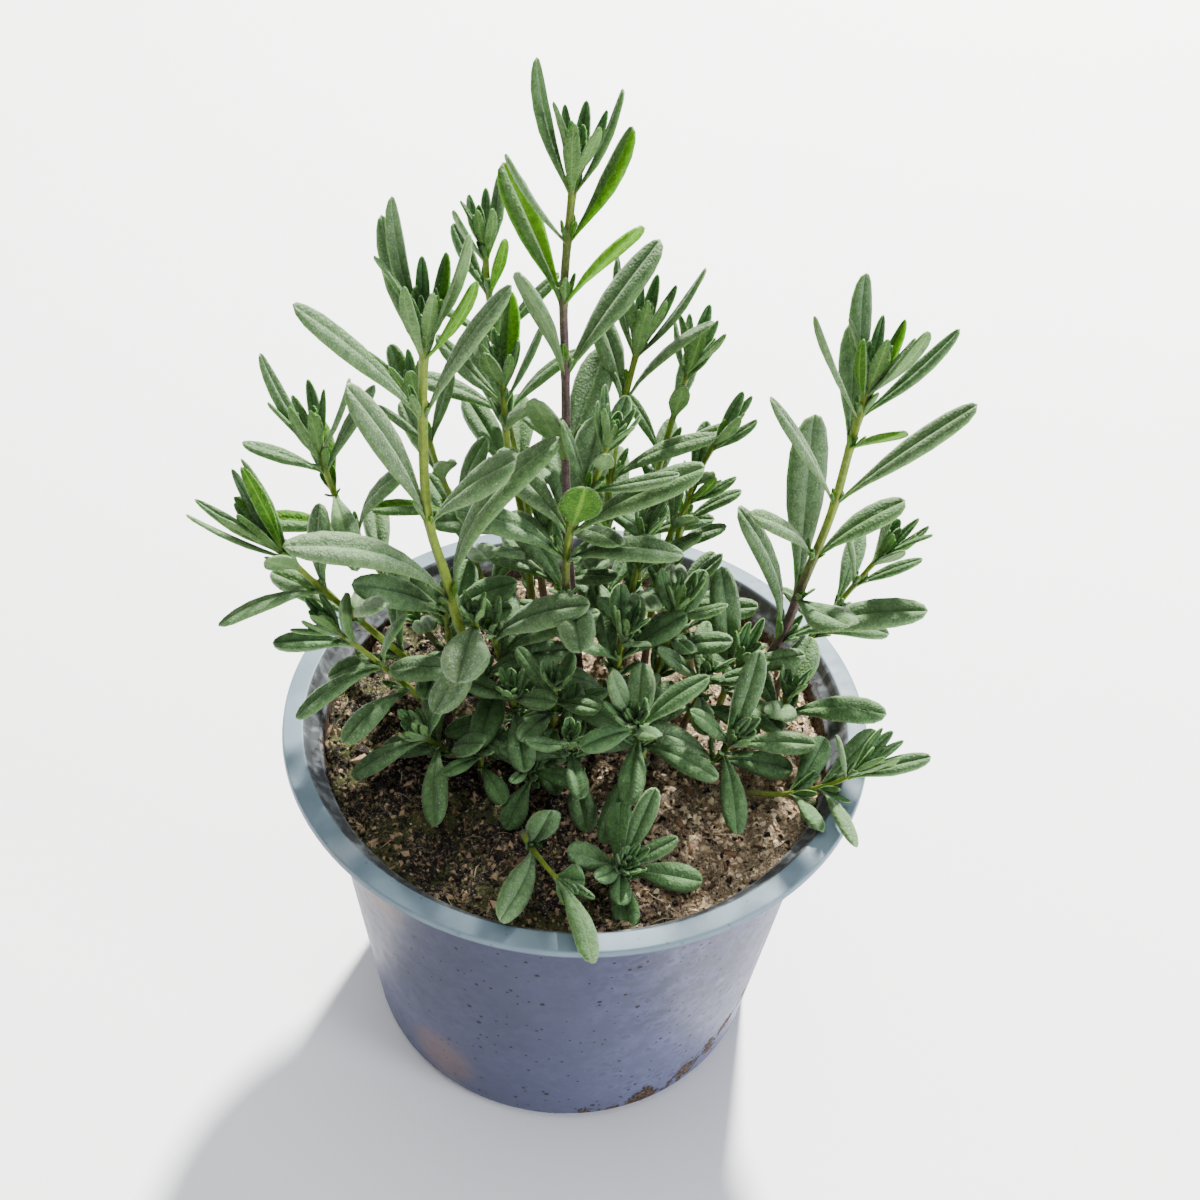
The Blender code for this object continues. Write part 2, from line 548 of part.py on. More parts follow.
class Leaf:
    """One leaf: where it springs from, how it leans, and its size."""

    def __init__(self, place, azimuth, spread, length, width, arch, roll):
        self.base, self.stem, self.root = place
        self.azimuth = azimuth
        self.spread = spread
        self.length = length
        self.width = width
        self.arch = arch
        self.roll = roll

    def moved(self, turn, open_by, scale):
        place = (self.base, self.stem, self.root)
        width = self.width * (0.5 + 0.5 * scale)
        return Leaf(place, self.azimuth + turn, max(6, self.spread + open_by), self.length * scale,
                    width, self.arch, self.roll)

    def outward(self):
        """The direction in which the leaf leaves the stem, square to the stem."""
        turn = math.radians(self.azimuth)
        out = Vector((math.cos(turn), math.sin(turn), 0))
        return (out - self.stem * out.dot(self.stem)).normalized()

    def frame(self, t):
        """Middle of the blade, its side direction and its upper face at a share t of the length.

        The upper face looks to the stem, and on a leaning stem the leaf turns it towards the sky.
        """
        lean = math.radians(self.spread)
        out = self.outward()
        chord = self.stem * math.cos(lean) + out * math.sin(lean)
        face = self.stem * math.sin(lean) - out * math.cos(lean)
        sky = Vector((0, 0, 1)) - chord * chord.z
        face = (face + sky * TURN_TO_SKY).normalized()
        middle = self.base + chord * self.length * t + face * (self.arch * self.length * 4 * t * (1 - t))
        upper = (face - chord * (self.arch * 4 * (1 - 2 * t))).normalized()
        side = chord.cross(face)
        twist = math.radians(self.roll) * t
        across = side * math.cos(twist) + upper * math.sin(twist)
        return middle, across, upper * math.cos(twist) - side * math.sin(twist)

    def half_width(self, t):
        """Narrow at the stem, widest past the middle, with a blunt round tip."""
        if t <= WIDEST_AT:
            s = t / WIDEST_AT
            return self.width / 2 * (LEAF_NECK + (1 - LEAF_NECK) * s * s * (3 - 2 * s))
        s = (t - WIDEST_AT) / (1 - WIDEST_AT)
        return self.width / 2 * math.sqrt(max(0.0, 1 - s * s))


def leaf_solid(leaf, swell=0.0, start=0.0):
    """A blade with a keel below, of one to three flat-topped stretches and a tip."""
    stations = [start, 0.55, 0.9]
    if leaf.length > LARGE_LEAF:
        stations = [start, 0.34, 0.66, 0.93]
    elif leaf.length < SMALL_LEAF:
        stations = [start, 0.7]
    points = []
    for t in stations:
        middle, side, upper = leaf.frame(t)
        half = leaf.half_width(t) + swell
        thick = LEAF_THICKNESS + swell
        if t == 0.0:
            half = min(half, leaf.root * 0.6)
            thick = leaf.root * 0.6
            middle += leaf.outward() * leaf.root * 0.35
        points.append(middle - side * half + upper * swell)
        points.append(middle - upper * thick)
        points.append(middle + side * half + upper * swell)
    tip = leaf.frame(1.0)[0]
    points.append(tip + (tip - points[-2]).normalized() * swell)
    faces = [[2, 1, 0]]
    for ring in range(0, 3 * len(stations) - 3, 3):
        for side in range(3):
            low = ring + side
            after = ring + (side + 1) % 3
            faces.append([low, after, after + 3])
            faces.append([low, after + 3, low + 3])
    last = len(points) - 4
    for side in range(3):
        faces.append([last + side, last + (side + 1) % 3, len(points) - 1])
    return points, faces


def wanted_leaves(shoot, curve, draw):
    """The shoot's leaves as they would grow with nothing in their way."""
    leaves = []
    for place, azimuth, spread, length, spread_opposite, length_opposite, width, arch in shoot.pairs:
        at = curve.node(place)
        leaves.append(Leaf(at, azimuth, spread, length, width, arch, draw.uniform(-14, 14)))
        if length_opposite:
            leaves.append(Leaf(at, azimuth + 180, spread_opposite, length_opposite, width, arch,
                               draw.uniform(-14, 14)))
    turn = shoot.pairs[-1][1] + 90
    for index, length in enumerate(shoot.tuft):
        at = curve.node(1.0 - 0.012 * (len(shoot.tuft) - index))
        spread = 17 - 6 * index
        for half_turn in (0, 180):
            leaves.append(Leaf(at, turn + half_turn, spread + draw.uniform(-3, 3), length,
                               2.6 + length * 0.08, -0.03, draw.uniform(-8, 8)))
        turn += 90
    return leaves


def join_solids(solids):
    points = []
    faces = []
    for solid_points, solid_faces in solids:
        shift = len(points)
        points += solid_points
        faces += [[corner + shift for corner in face] for face in solid_faces]
    return points, faces


def grow_shoots():
    """Every shoot's curve and its leaves, each leaf moved clear of the other shoots."""
    curves = {shoot.name: StemCurve(shoot) for shoot in SHOOTS}
    grown = {name: [stem_solid(curve)] for name, curve in curves.items()}
    fixed = [turned(pot_outline(), POT_SIDES), soil_solid()]
    placed = {}
    draw = random.Random(20)
    for shoot in SHOOTS:
        others = [solid for name, solids in grown.items() if name != shoot.name for solid in solids]
        around = BVHTree.FromPolygons(*join_solids(fixed + others))
        own = []
        kept = []
        for wanted in wanted_leaves(shoot, curves[shoot.name], draw):
            leaf = clear_leaf(wanted, around, own)
            if leaf is None:
                continue
            kept.append(leaf)
            own.append(leaf_solid(leaf, start=0.4))
            grown[shoot.name].append(leaf_solid(leaf))
        placed[shoot.name] = kept
    return curves, placed


def clear_leaf(wanted, around, own):
    """The leaf in its first free position: clear of other shoots, and if it can of its own."""
    own_tree = BVHTree.FromPolygons(*join_solids(own)) if own else None
    fallback = None
    for move in LEAF_MOVES:
        leaf = wanted.moved(*move)
        if around.overlap(BVHTree.FromPolygons(*leaf_solid(leaf, LEAF_CLEARANCE))):
            continue
        if own_tree is None:
            return leaf
        if not own_tree.overlap(BVHTree.FromPolygons(*leaf_solid(leaf, 0.2, start=0.4))):
            return leaf
        if fallback is None:
            fallback = leaf
    return fallback


def keep_main_body(mesh):
    """Only the largest connected body stays: loose scraps and sealed hollows go."""
    shape = bmesh.new()
    shape.from_mesh(mesh)
    bmesh.ops.triangulate(shape, faces=shape.faces)
    seen = set()
    bodies = []
    for face in shape.faces:
        if face in seen:
            continue
        body = {face}
        queue = [face]
        while queue:
            for edge in queue.pop().edges:
                for other in edge.link_faces:
                    if other not in body:
                        body.add(other)
                        queue.append(other)
        seen |= body
        bodies.append(body)
    main = max(bodies, key=len)
    spare = [face for face in shape.faces if face not in main]
    bmesh.ops.delete(shape, geom=spare, context="FACES")
    shape.to_mesh(mesh)
    shape.free()


def build_shoot(shoot, curve, leaves, material):
    """The stem with its leaves fused to it in one closed body."""
    name = "shoot_" + shoot.name
    points, faces = stem_solid(curve)
    stem = make_object(name, points, faces, material)
    blades = bpy.data.collections.new(name + "_leaves")
    bpy.context.scene.collection.children.link(blades)
    for index, leaf in enumerate(leaves):
        points, faces = leaf_solid(leaf)
        make_object(f"{name}_leaf_{index}", points, faces, collection=blades)
    add_boolean(stem, "UNION", blades)
    graph = bpy.context.evaluated_depsgraph_get()
    joined = bpy.data.meshes.new_from_object(stem.evaluated_get(graph))
    stem.modifiers.clear()
    stem.data = joined
    stem.data.name = name
    keep_main_body(joined)
    for item in list(blades.objects):
        bpy.data.objects.remove(item, do_unlink=True)
    bpy.data.collections.remove(blades)
    return stem


clear_scene()
build_pot()
build_soil()
curves, placed = grow_shoots()
leaf_material = make_material("lavender_leaf", LEAF_COLOUR, 0.75)
for shoot in SHOOTS:
    build_shoot(shoot, curves[shoot.name], placed[shoot.name], leaf_material)
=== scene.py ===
"""Potted English lavender: a young leafy plant in a thin nursery pot, finished for show.

Sizes are in millimetres and degrees, which new_piece and MM turn into metres.
"""
import math
import random
import bmesh
import bpy
from mathutils import Matrix, Vector, noise
from mathutils.bvhtree import BVHTree


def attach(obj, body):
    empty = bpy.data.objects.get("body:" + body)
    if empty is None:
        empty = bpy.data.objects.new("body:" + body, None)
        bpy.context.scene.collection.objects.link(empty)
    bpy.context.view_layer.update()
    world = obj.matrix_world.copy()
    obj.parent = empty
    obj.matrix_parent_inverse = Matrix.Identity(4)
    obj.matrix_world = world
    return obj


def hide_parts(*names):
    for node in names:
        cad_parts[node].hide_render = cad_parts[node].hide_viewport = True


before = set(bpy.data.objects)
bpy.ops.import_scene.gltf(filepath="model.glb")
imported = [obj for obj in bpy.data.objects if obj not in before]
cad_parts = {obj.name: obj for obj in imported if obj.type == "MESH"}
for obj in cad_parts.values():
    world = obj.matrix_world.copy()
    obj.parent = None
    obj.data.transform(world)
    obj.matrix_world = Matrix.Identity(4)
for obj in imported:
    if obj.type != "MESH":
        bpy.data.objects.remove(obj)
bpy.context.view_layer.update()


# Pot
# A thin nursery pot of blue-grey polypropylene, moulded in one piece with its turned-out lip, the step
# of its collar, a rounded bottom corner and a raised floor with six drain holes. It stands on its foot
# ring. Dried water, specks of peat, rusty smears and mud are on it, as on any pot from the bench. Light
# and shade are painted into its colour too: a paler right side and foot, highlight lines at the collar
# and inside, and painted shade on its inner wall.
MM = 0.001
GAP = 0.3
RIM_RADIUS = 65.0
POT_HEIGHT = 92.0
LIP_WIDTH = 4.6
LIP_THICKNESS = 1.1
LIP_DROP = 2.4
LIP_ROOT = 3.6
THROAT_DEPTH = 4.4
WALL = 1.3
NECK_RADIUS = 57.6
COLLAR_HEIGHT = 9.0
COLLAR_STEP = 0.7
BASE_RADIUS = 47.5
BASE_CORNER = 3.0
FLOOR = 1.6
INNER_CORNER = 2.4
FOOT_WIDTH = 6.0
HUB_RADIUS = 16.0
FLOOR_RECESS = 1.4
DRAIN_HOLES = 6
DRAIN_RADIUS = 4.0
DRAIN_SIDES = 40

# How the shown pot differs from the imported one: finer, with rounded corners and a lip that hangs down less
POT_SIDES = 128
BASE_ROUNDING = 2.4
LIP_ROUNDING = 0.45
LONGEST_FACE = 6.0
SHOWN_DROP = 1.7
SHARP_EDGE = 50

# Heights at which the lip's paler colour starts and is full, of the painted highlight line along the collar
# and of the painted highlight line on the step inside
LIP_FROM = 90.3
LIP_TO = 90.9
COLLAR_HIGHLIGHT_HEIGHT = 86.2
STEP_HIGHLIGHT_HEIGHT = 87.4

# Brown smears on the wall, and where mud clings to it: (azimuth, height, half the width, half the height,
# strength). The base has none within a radius.
SMEARS = [(223, 77, 8, 13, 1.0), (236, 15, 10, 10, 0.9), (140, 20, 12, 12, 0.7)]
MUD = [
    (231, 4, 7, 4, 0.60), (249, 2, 7, 3, 0.60), (268, 3, 6, 3, 0.66), (279, 4, 4, 4, 0.8),
    (287, 3, 4, 3, 0.85), (296, 6, 5, 5, 1.15), (304, 6, 4, 4, 0.75), (310, 9, 5, 5, 0.95),
    (318, 12, 5, 6, 0.80), (325, 16, 4, 5, 0.9), (332, 21, 4, 6, 0.72), (340, 36, 4, 8, 0.72),
    (60, 4, 20, 4, 0.65), (100, 4, 16, 4, 0.7),
]
BARE_BASE_RADIUS = 40.0

# Specks of peat in three sizes: (size of the cells that hold one each, share of the cells that do, its
# radius as a share of the cell)
SPECKS = ((7.0, 0.8, 0.075), (4.0, 0.8, 0.10), (2.4, 0.45, 0.12))

# Colours of the plastic, of what has dried on it and of the light and shade painted on it, where two are
# given from cloud to cloud
WALL_COLOURS = ((0.048, 0.051, 0.083), (0.059, 0.063, 0.101))
LIP_COLOURS = ((0.138, 0.192, 0.228), (0.170, 0.229, 0.270))
INNER_WALL_SHADE = (0.058, 0.063, 0.066)
COLLAR_HIGHLIGHT = (0.14, 0.15, 0.23)
FILM_AND_PAINTED_LIGHT = (0.105, 0.112, 0.215)
FOOT_PAINTED_LIGHT = (0.105, 0.115, 0.200)
BLOT_MIDDLE = (0.034, 0.038, 0.070)
BLOT_RING = (0.19, 0.205, 0.31)
INNER_HIGHLIGHT = (0.27, 0.29, 0.31)
PEAT_SPECK = (0.016, 0.011, 0.013)
RUST = (0.25, 0.145, 0.098)
MUD_COLOURS = ((0.028, 0.018, 0.014), (0.115, 0.078, 0.054))


def ring_faces(ring_count, sides):
    """The four-cornered faces between rings that follow each other, each with the same number of points."""
    faces = []
    for low in range(0, sides * (ring_count - 1), sides):
        for side in range(sides):
            after = (side + 1) % sides
            faces.append([low + side, low + after, low + sides + after, low + sides + side])
    return faces


def turned(profile, sides):
    """Points and faces of a profile of (radius, height) turned about Z, closed at its ends."""
    points = []
    rings = []
    for radius, height in profile:
        if radius == 0:
            rings.append([len(points)] * sides)
            points.append((0, 0, height))
            continue
        rings.append(list(range(len(points), len(points) + sides)))
        for side in range(sides):
            angle = 2 * math.pi * side / sides
            points.append((radius * math.cos(angle), radius * math.sin(angle), height))
    faces = []
    for lower, upper in zip(rings, rings[1:]):
        for side in range(sides):
            after = (side + 1) % sides
            corners = [lower[side], lower[after], upper[after], upper[side]]
            faces.append(list(dict.fromkeys(corners)))
    return points, faces


def pot_outline():
    """Outside from the middle of the base up to the lip, then down the inside to the floor."""
    lip_inner = RIM_RADIUS - LIP_WIDTH
    collar_low = POT_HEIGHT - COLLAR_HEIGHT
    recess_out = BASE_RADIUS - FOOT_WIDTH
    slope = (NECK_RADIUS - COLLAR_STEP - BASE_RADIUS) / (collar_low - BASE_CORNER)
    floor_top = FLOOR_RECESS + FLOOR
    inner_low = BASE_RADIUS - WALL + slope * (floor_top - BASE_CORNER)
    outside = [
        (0, 0), (HUB_RADIUS, 0), (HUB_RADIUS + 1, FLOOR_RECESS), (recess_out - 1, FLOOR_RECESS),
        (recess_out, 0), (BASE_RADIUS - BASE_CORNER * 0.9, 0), (BASE_RADIUS, BASE_CORNER),
        (NECK_RADIUS - COLLAR_STEP, collar_low), (NECK_RADIUS, collar_low + 0.8),
        (NECK_RADIUS + 0.3, POT_HEIGHT - LIP_ROOT), (lip_inner, POT_HEIGHT - LIP_THICKNESS),
        (RIM_RADIUS - 1.0, POT_HEIGHT - LIP_THICKNESS), (RIM_RADIUS - 0.9, POT_HEIGHT - LIP_DROP),
        (RIM_RADIUS, POT_HEIGHT - LIP_DROP), (RIM_RADIUS - 0.3, POT_HEIGHT),
    ]
    throat = NECK_RADIUS - WALL
    inside = [
        (lip_inner, POT_HEIGHT), (NECK_RADIUS + 0.2, POT_HEIGHT - 1.6),
        (throat, POT_HEIGHT - THROAT_DEPTH), (throat - 0.2, collar_low + 0.4),
        (throat - COLLAR_STEP, collar_low - 0.6),
        (inner_low, floor_top + INNER_CORNER), (inner_low - INNER_CORNER, floor_top), (0, floor_top),
    ]
    return outside + inside


def shown_outline():
    """The pot's outline with the fuller root and the steep throat that show under and inside its lip."""
    lip_inner = RIM_RADIUS - LIP_WIDTH
    throat = NECK_RADIUS - WALL
    moved = {
        (NECK_RADIUS + 0.3, POT_HEIGHT - LIP_ROOT): [
            (NECK_RADIUS + 0.3, POT_HEIGHT - 5.6), (lip_inner - 0.2, POT_HEIGHT - 3.2)],
        (lip_inner, POT_HEIGHT - LIP_THICKNESS): [(lip_inner + 0.4, POT_HEIGHT - LIP_THICKNESS)],
        (RIM_RADIUS - 0.9, POT_HEIGHT - LIP_DROP): [(RIM_RADIUS - 0.9, POT_HEIGHT - SHOWN_DROP)],
        (RIM_RADIUS, POT_HEIGHT - LIP_DROP): [(RIM_RADIUS, POT_HEIGHT - SHOWN_DROP)],
        (NECK_RADIUS + 0.2, POT_HEIGHT - 1.6): [
            (lip_inner - 0.6, POT_HEIGHT - 0.5), (lip_inner - 1.5, POT_HEIGHT - 2.6),
            (throat + 0.9, POT_HEIGHT - 3.8)],
        (throat, POT_HEIGHT - THROAT_DEPTH): [(throat, POT_HEIGHT - 5.1)],
    }
    outline = []
    for corner in pot_outline():
        outline += moved.get(corner, [corner])
    return outline


def rounded(outline, steps=4):
    """The same outline with each corner cut back and rounded off, those of the lip and collar the least."""
    corners = [Vector(corner) for corner in outline]
    points = [corners[0]]
    for before, corner, after in zip(corners, corners[1:], corners[2:]):
        reach = LIP_ROUNDING if corner.y > POT_HEIGHT - COLLAR_HEIGHT - 3 else BASE_ROUNDING
        cut = min(reach, 0.45 * (corner - before).length, 0.45 * (after - corner).length)
        start = corner + (before - corner).normalized() * cut
        end = corner + (after - corner).normalized() * cut
        for step in range(steps + 1):
            t = step / steps
            points.append(start * (1 - t) ** 2 + corner * 2 * t * (1 - t) + end * t * t)
    points.append(corners[-1])
    return points


def divided(line, longest):
    """The same line with its long straight stretches cut into short ones."""
    points = [line[0]]
    for start, end in zip(line, line[1:]):
        parts = max(1, math.ceil((end - start).length / longest))
        points += [start.lerp(end, part / parts) for part in range(1, parts + 1)]
    return points


def put_in_scene(name, data):
    """A new object at the origin, with its data, in the scene."""
    thing = bpy.data.objects.new(name, data)
    bpy.context.scene.collection.objects.link(thing)
    return thing


def mesh_facing_outwards(name, points, faces):
    """A mesh whose faces all point out."""
    mesh = bpy.data.meshes.new(name)
    mesh.from_pydata(points, [], faces)
    shape = bmesh.new()
    shape.from_mesh(mesh)
    bmesh.ops.recalc_face_normals(shape, faces=shape.faces)
    shape.to_mesh(mesh)
    shape.free()
    return mesh


def new_piece(name, points, faces, material=None):
    """A smoothly shaded object from points in millimetres."""
    mesh = mesh_facing_outwards(name, [Vector(point) * MM for point in points], faces)
    mesh.shade_smooth()
    if material:
        mesh.materials.append(material)
    return put_in_scene(name, mesh)


def made_plain(piece):
    """Turns what the piece's modifiers make into its own plain mesh, and takes them off."""
    graph = bpy.context.evaluated_depsgraph_get()
    mesh = bpy.data.meshes.new_from_object(piece.evaluated_get(graph))
    piece.modifiers.clear()
    piece.data = mesh
    mesh.name = piece.name


def mark(mesh, name, values):
    """Stores one number per point, which materials and scattering read by its name."""
    attribute = mesh.attributes.new(name, "FLOAT", "POINT")
    attribute.data.foreach_set("value", values)


class NodeWriter:
    """Adds nodes to a tree. An input is given as a value, or as another node's output to join to it."""

    def __init__(self, tree):
        self.tree = tree

    def add(self, kind, inputs, **settings):
        node = self.tree.nodes.new(kind)
        for name, value in settings.items():
            setattr(node, name, value)
        for name, value in inputs.items():
            if isinstance(value, bpy.types.NodeSocket):
                self.tree.links.new(value, node.inputs[name])
            else:
                node.inputs[name].default_value = value
        return node

    def math(self, operation, first, second=0.0):
        return self.add("ShaderNodeMath", {0: first, 1: second}, operation=operation).outputs[0]

    def times(self, first, second):
        return self.math("MULTIPLY", first, second)

    def plus(self, first, second):
        return self.math("ADD", first, second)

    def minus(self, first, second):
        return self.math("SUBTRACT", first, second)

    def vector(self, operation, first, second=(0.0, 0.0, 0.0)):
        return self.add("ShaderNodeVectorMath", {0: first, 1: second}, operation=operation).outputs[0]

    def scaled(self, vector, factor):
        return self.add("ShaderNodeVectorMath", {0: vector, "Scale": factor}, operation="SCALE").outputs[0]

    def between(self, value, low, high):
        """0 up to low, 1 from high on, and smooth between them. With low above high it falls instead."""
        inputs = {"Value": value, "From Min": low, "From Max": high}
        return self.add("ShaderNodeMapRange", inputs, interpolation_type="SMOOTHSTEP").outputs[0]

    def near(self, value, middle, far, close):
        """1 within close of the middle, and falling to 0 at far from it."""
        return self.between(self.math("ABSOLUTE", self.minus(value, middle)), far, close)


class MaterialWriter(NodeWriter):
    """A new material with one Principled shader, and the patterns that its colour is mixed from."""

    def __init__(self, name):
        self.material = bpy.data.materials.new(name)
        self.material.use_nodes = True
        super().__init__(self.material.node_tree)
        self.shader = self.tree.nodes["Principled BSDF"]
        self.place = self.add("ShaderNodeTexCoord", {}).outputs["Object"]

    def attribute(self, name):
        return self.add("ShaderNodeAttribute", {}, attribute_name=name).outputs["Fac"]

    def cloud(self, size, detail=3.0, roughness=0.55, place=None):
        """Soft noise whose lumps are about size millimetres across."""
        inputs = {"Vector": place or self.place, "Scale": 1 / (size * MM), "Detail": detail,
                  "Roughness": roughness}
        return self.add("ShaderNodeTexNoise", inputs).outputs["Fac"]

    def cells(self, size, output="Distance"):
        """Cells about size millimetres across: each point's distance from its cell's middle, or a colour."""
        inputs = {"Vector": self.place, "Scale": 1 / (size * MM)}
        return self.add("ShaderNodeTexVoronoi", inputs).outputs[output]

    def chosen_cells(self, size, low, high):
        """1 in a random share of the cells and 0 in the others."""
        return self.between(self.part(self.cells(size, "Color"), 0), low, high)

    def blend(self, share, first, second):
        """A colour between two, each given as a colour or as another node's output."""
        inputs = {0: share}
        for socket, colour in ((6, first), (7, second)):
            inputs[socket] = colour if isinstance(colour, bpy.types.NodeSocket) else (*colour, 1.0)
        return self.add("ShaderNodeMix", inputs, data_type="RGBA").outputs[2]

    def part(self, vector, axis):
        return self.add("ShaderNodeSeparateXYZ", {0: vector}).outputs[axis]

    def set(self, name, value):
        socket = self.shader.inputs[name]
        if isinstance(value, bpy.types.NodeSocket):
            self.tree.links.new(value, socket)
        else:
            socket.default_value = value

    def bump(self, layers):
        """Raises the surface by each (height, depth in millimetres, strength) in turn."""
        normal = None
        for height, depth, strength in layers:
            inputs = {"Height": height, "Distance": depth * MM, "Strength": strength}
            if normal:
                inputs["Normal"] = normal
            normal = self.add("ShaderNodeBump", inputs).outputs[0]
        self.set("Normal", normal)


def bare_plastic(paint, on_lip):
    """The plastic by itself: a cloudy wall and the lighter lip."""
    wall = paint.blend(paint.between(paint.cloud(34), 0.35, 0.65), *WALL_COLOURS)
    lip = paint.blend(paint.between(paint.cloud(9), 0.4, 0.7), *LIP_COLOURS)
    return paint.blend(on_lip, wall, lip)


def water_marks_and_painted_light(paint, colour, height, below_lip):
    """Adds a paler, bluer layer that is partly dried water and partly painted light on the pot's lit right
    side, painted light on the foot, a painted highlight along the collar and dried blots.

    The paler layer and the blots are strongest on the right. Returns the colour, and where the blots are
    dark.
    """
    splashed_and_lit = paint.between(paint.part(paint.place, 0), 2 * MM, 26 * MM)
    # Paler and bluer to the right: partly dried water, partly painted light on the pot's lit side
    film_and_light_share = paint.plus(paint.times(splashed_and_lit, 0.50), 0.12)
    film_and_light = paint.times(paint.between(paint.cloud(6, 6.0, 0.7), 0.40, 0.72), film_and_light_share)
    colour = paint.blend(paint.times(film_and_light, below_lip), colour, FILM_AND_PAINTED_LIGHT)
    # Lighter and bluer towards the foot: painted light
    painted_foot_light = paint.times(paint.between(height, 58 * MM, 4 * MM), 0.46)
    colour = paint.blend(painted_foot_light, colour, FOOT_PAINTED_LIGHT)
    # A painted highlight line where light catches the collar's edge
    collar_highlight = paint.near(height, COLLAR_HIGHLIGHT_HEIGHT * MM, 0.9 * MM, 0.3 * MM)
    colour = paint.blend(paint.times(collar_highlight, 0.22), colour, COLLAR_HIGHLIGHT)
    blots = paint.plus(paint.cells(3.4), paint.cloud(1.5, 5.0, 0.75))
    spotted = paint.times(paint.between(paint.cloud(20), 0.36, 0.56), below_lip)
    spotted = paint.times(spotted, paint.plus(paint.times(splashed_and_lit, 0.8), 0.2))
    dark = paint.times(paint.between(blots, 0.86, 0.62), spotted)
    colour = paint.blend(paint.times(dark, 0.38), colour, BLOT_MIDDLE)
    ring = paint.times(paint.near(blots, 0.93, 0.13, 0.0), spotted)
    return paint.blend(paint.times(ring, 0.17), colour, BLOT_RING), dark


def specked(paint, colour, on_lip):
    """Adds specks of peat, fainter on the lip."""
    strength = paint.minus(1.0, paint.times(on_lip, 0.75))
    for size, share, radius in SPECKS:
        ragged = paint.plus(paint.cells(size), paint.times(paint.cloud(0.6), 0.08))
        dot = paint.times(paint.between(ragged, radius + 0.07, radius + 0.02), strength)
        chosen = paint.chosen_cells(size, share, share - 0.02)
        colour = paint.blend(paint.times(dot, chosen), colour, PEAT_SPECK)
    return colour


def inner_wall(paint, colour, height, mud):
    """Adds the inside of the wall painted dark grey, as painted shade in the pot's hollow with a stain of
    peat, pale upright streaks and a pale line on its step as painted highlights of its gloss, and mud.

    Returns the colour, where the inner wall is and where mud is smeared on it.
    """
    inner = paint.attribute("inner")
    # The inside painted dark grey: painted shade in the pot's hollow, with a stain of peat
    colour = paint.blend(paint.times(inner, 0.96), colour, INNER_WALL_SHADE)
    # Pale upright streaks and a pale line on the inner step: painted highlights of the glossy wall
    upright = paint.cloud(2.6, 3.0, 0.5, paint.vector("MULTIPLY", paint.place, (1.0, 1.0, 0.12)))
    painted_streaks = paint.times(paint.between(upright, 0.46, 0.70), 0.45)
    step_highlight = paint.times(paint.near(height, STEP_HIGHLIGHT_HEIGHT * MM, 0.8 * MM, 0.2 * MM), 0.5)
    painted_gloss = paint.times(paint.math("MAXIMUM", painted_streaks, step_highlight), inner)
    colour = paint.blend(painted_gloss, colour, INNER_HIGHLIGHT)
    low_down = paint.times(paint.between(height, 90 * MM, 83 * MM), 0.30)
    smeared = paint.between(paint.plus(paint.cloud(2.2, 6.0, 0.72), low_down), 0.60, 0.72)
    smeared = paint.times(smeared, inner)
    return paint.blend(smeared, colour, mud), inner, smeared


def pot_plastic():
    """Blue-grey plastic: cloudy, with dried water, specks of peat, rusty smears and caked mud, and with
    painted light and shade.
    """
    paint = MaterialWriter("pot_plastic")
    height = paint.part(paint.place, 2)
    on_lip = paint.between(height, LIP_FROM * MM, LIP_TO * MM)
    colour = bare_plastic(paint, on_lip)
    colour, blots = water_marks_and_painted_light(paint, colour, height, paint.minus(1.0, on_lip))
    colour = specked(paint, colour, on_lip)
    smear = paint.between(paint.attribute("smear"), 0.05, 0.95)
    colour = paint.blend(paint.times(smear, 0.42), colour, RUST)
    mud = paint.blend(paint.between(paint.cloud(0.9, 4.0, 0.7), 0.42, 0.62), *MUD_COLOURS)
    unevenness = paint.times(paint.minus(paint.cloud(2.4, 6.0, 0.75), 0.5), 1.5)
    caked = paint.between(paint.plus(paint.attribute("mud"), unevenness), 0.60, 0.70)
    colour = paint.blend(caked, colour, mud)
    colour, inner, smeared = inner_wall(paint, colour, height, mud)
    paint.set("Base Color", colour)
    soiled = paint.math("MAXIMUM", caked, smeared)
    rough = paint.plus(paint.times(paint.cloud(3.2, 5.0, 0.6), 0.3), 0.28)
    rough = paint.minus(rough, paint.times(inner, 0.12))
    paint.set("Roughness", paint.plus(rough, paint.times(soiled, 0.4)))
    paint.set("Specular IOR Level", 0.1)
    paint.bump([(paint.cloud(18, 2.0), 0.5, 0.25), (blots, 0.05, 0.3), (paint.cloud(0.5), 0.03, 0.15),
                (soiled, 0.3, 0.8)])
    return paint.material


def patch_share(point, patches):
    """How strong the strongest patch of dirt is here, 0 to 1 or a little more. The base stays bare."""
    if math.hypot(point.x, point.y) <= BARE_BASE_RADIUS * MM:
        return 0.0
    azimuth = math.degrees(math.atan2(point.y, point.x)) % 360
    share = 0.0
    for middle, height, half_width, half_height, strength in patches:
        turn = (azimuth - middle + 180) % 360 - 180
        away = math.hypot(turn / half_width, (point.z / MM - height) / half_height)
        share = max(share, strength * max(0.0, 1 - 0.5 * away * away))
    return share


def on_inner_wall(vertex):
    """1 on the inside of the wall and its throat, which face the pot's middle, and 0 elsewhere."""
    outwards = Vector((vertex.co.x, vertex.co.y, 0)).normalized()
    return 1.0 if vertex.normal.dot(outwards) < -0.4 else 0.0


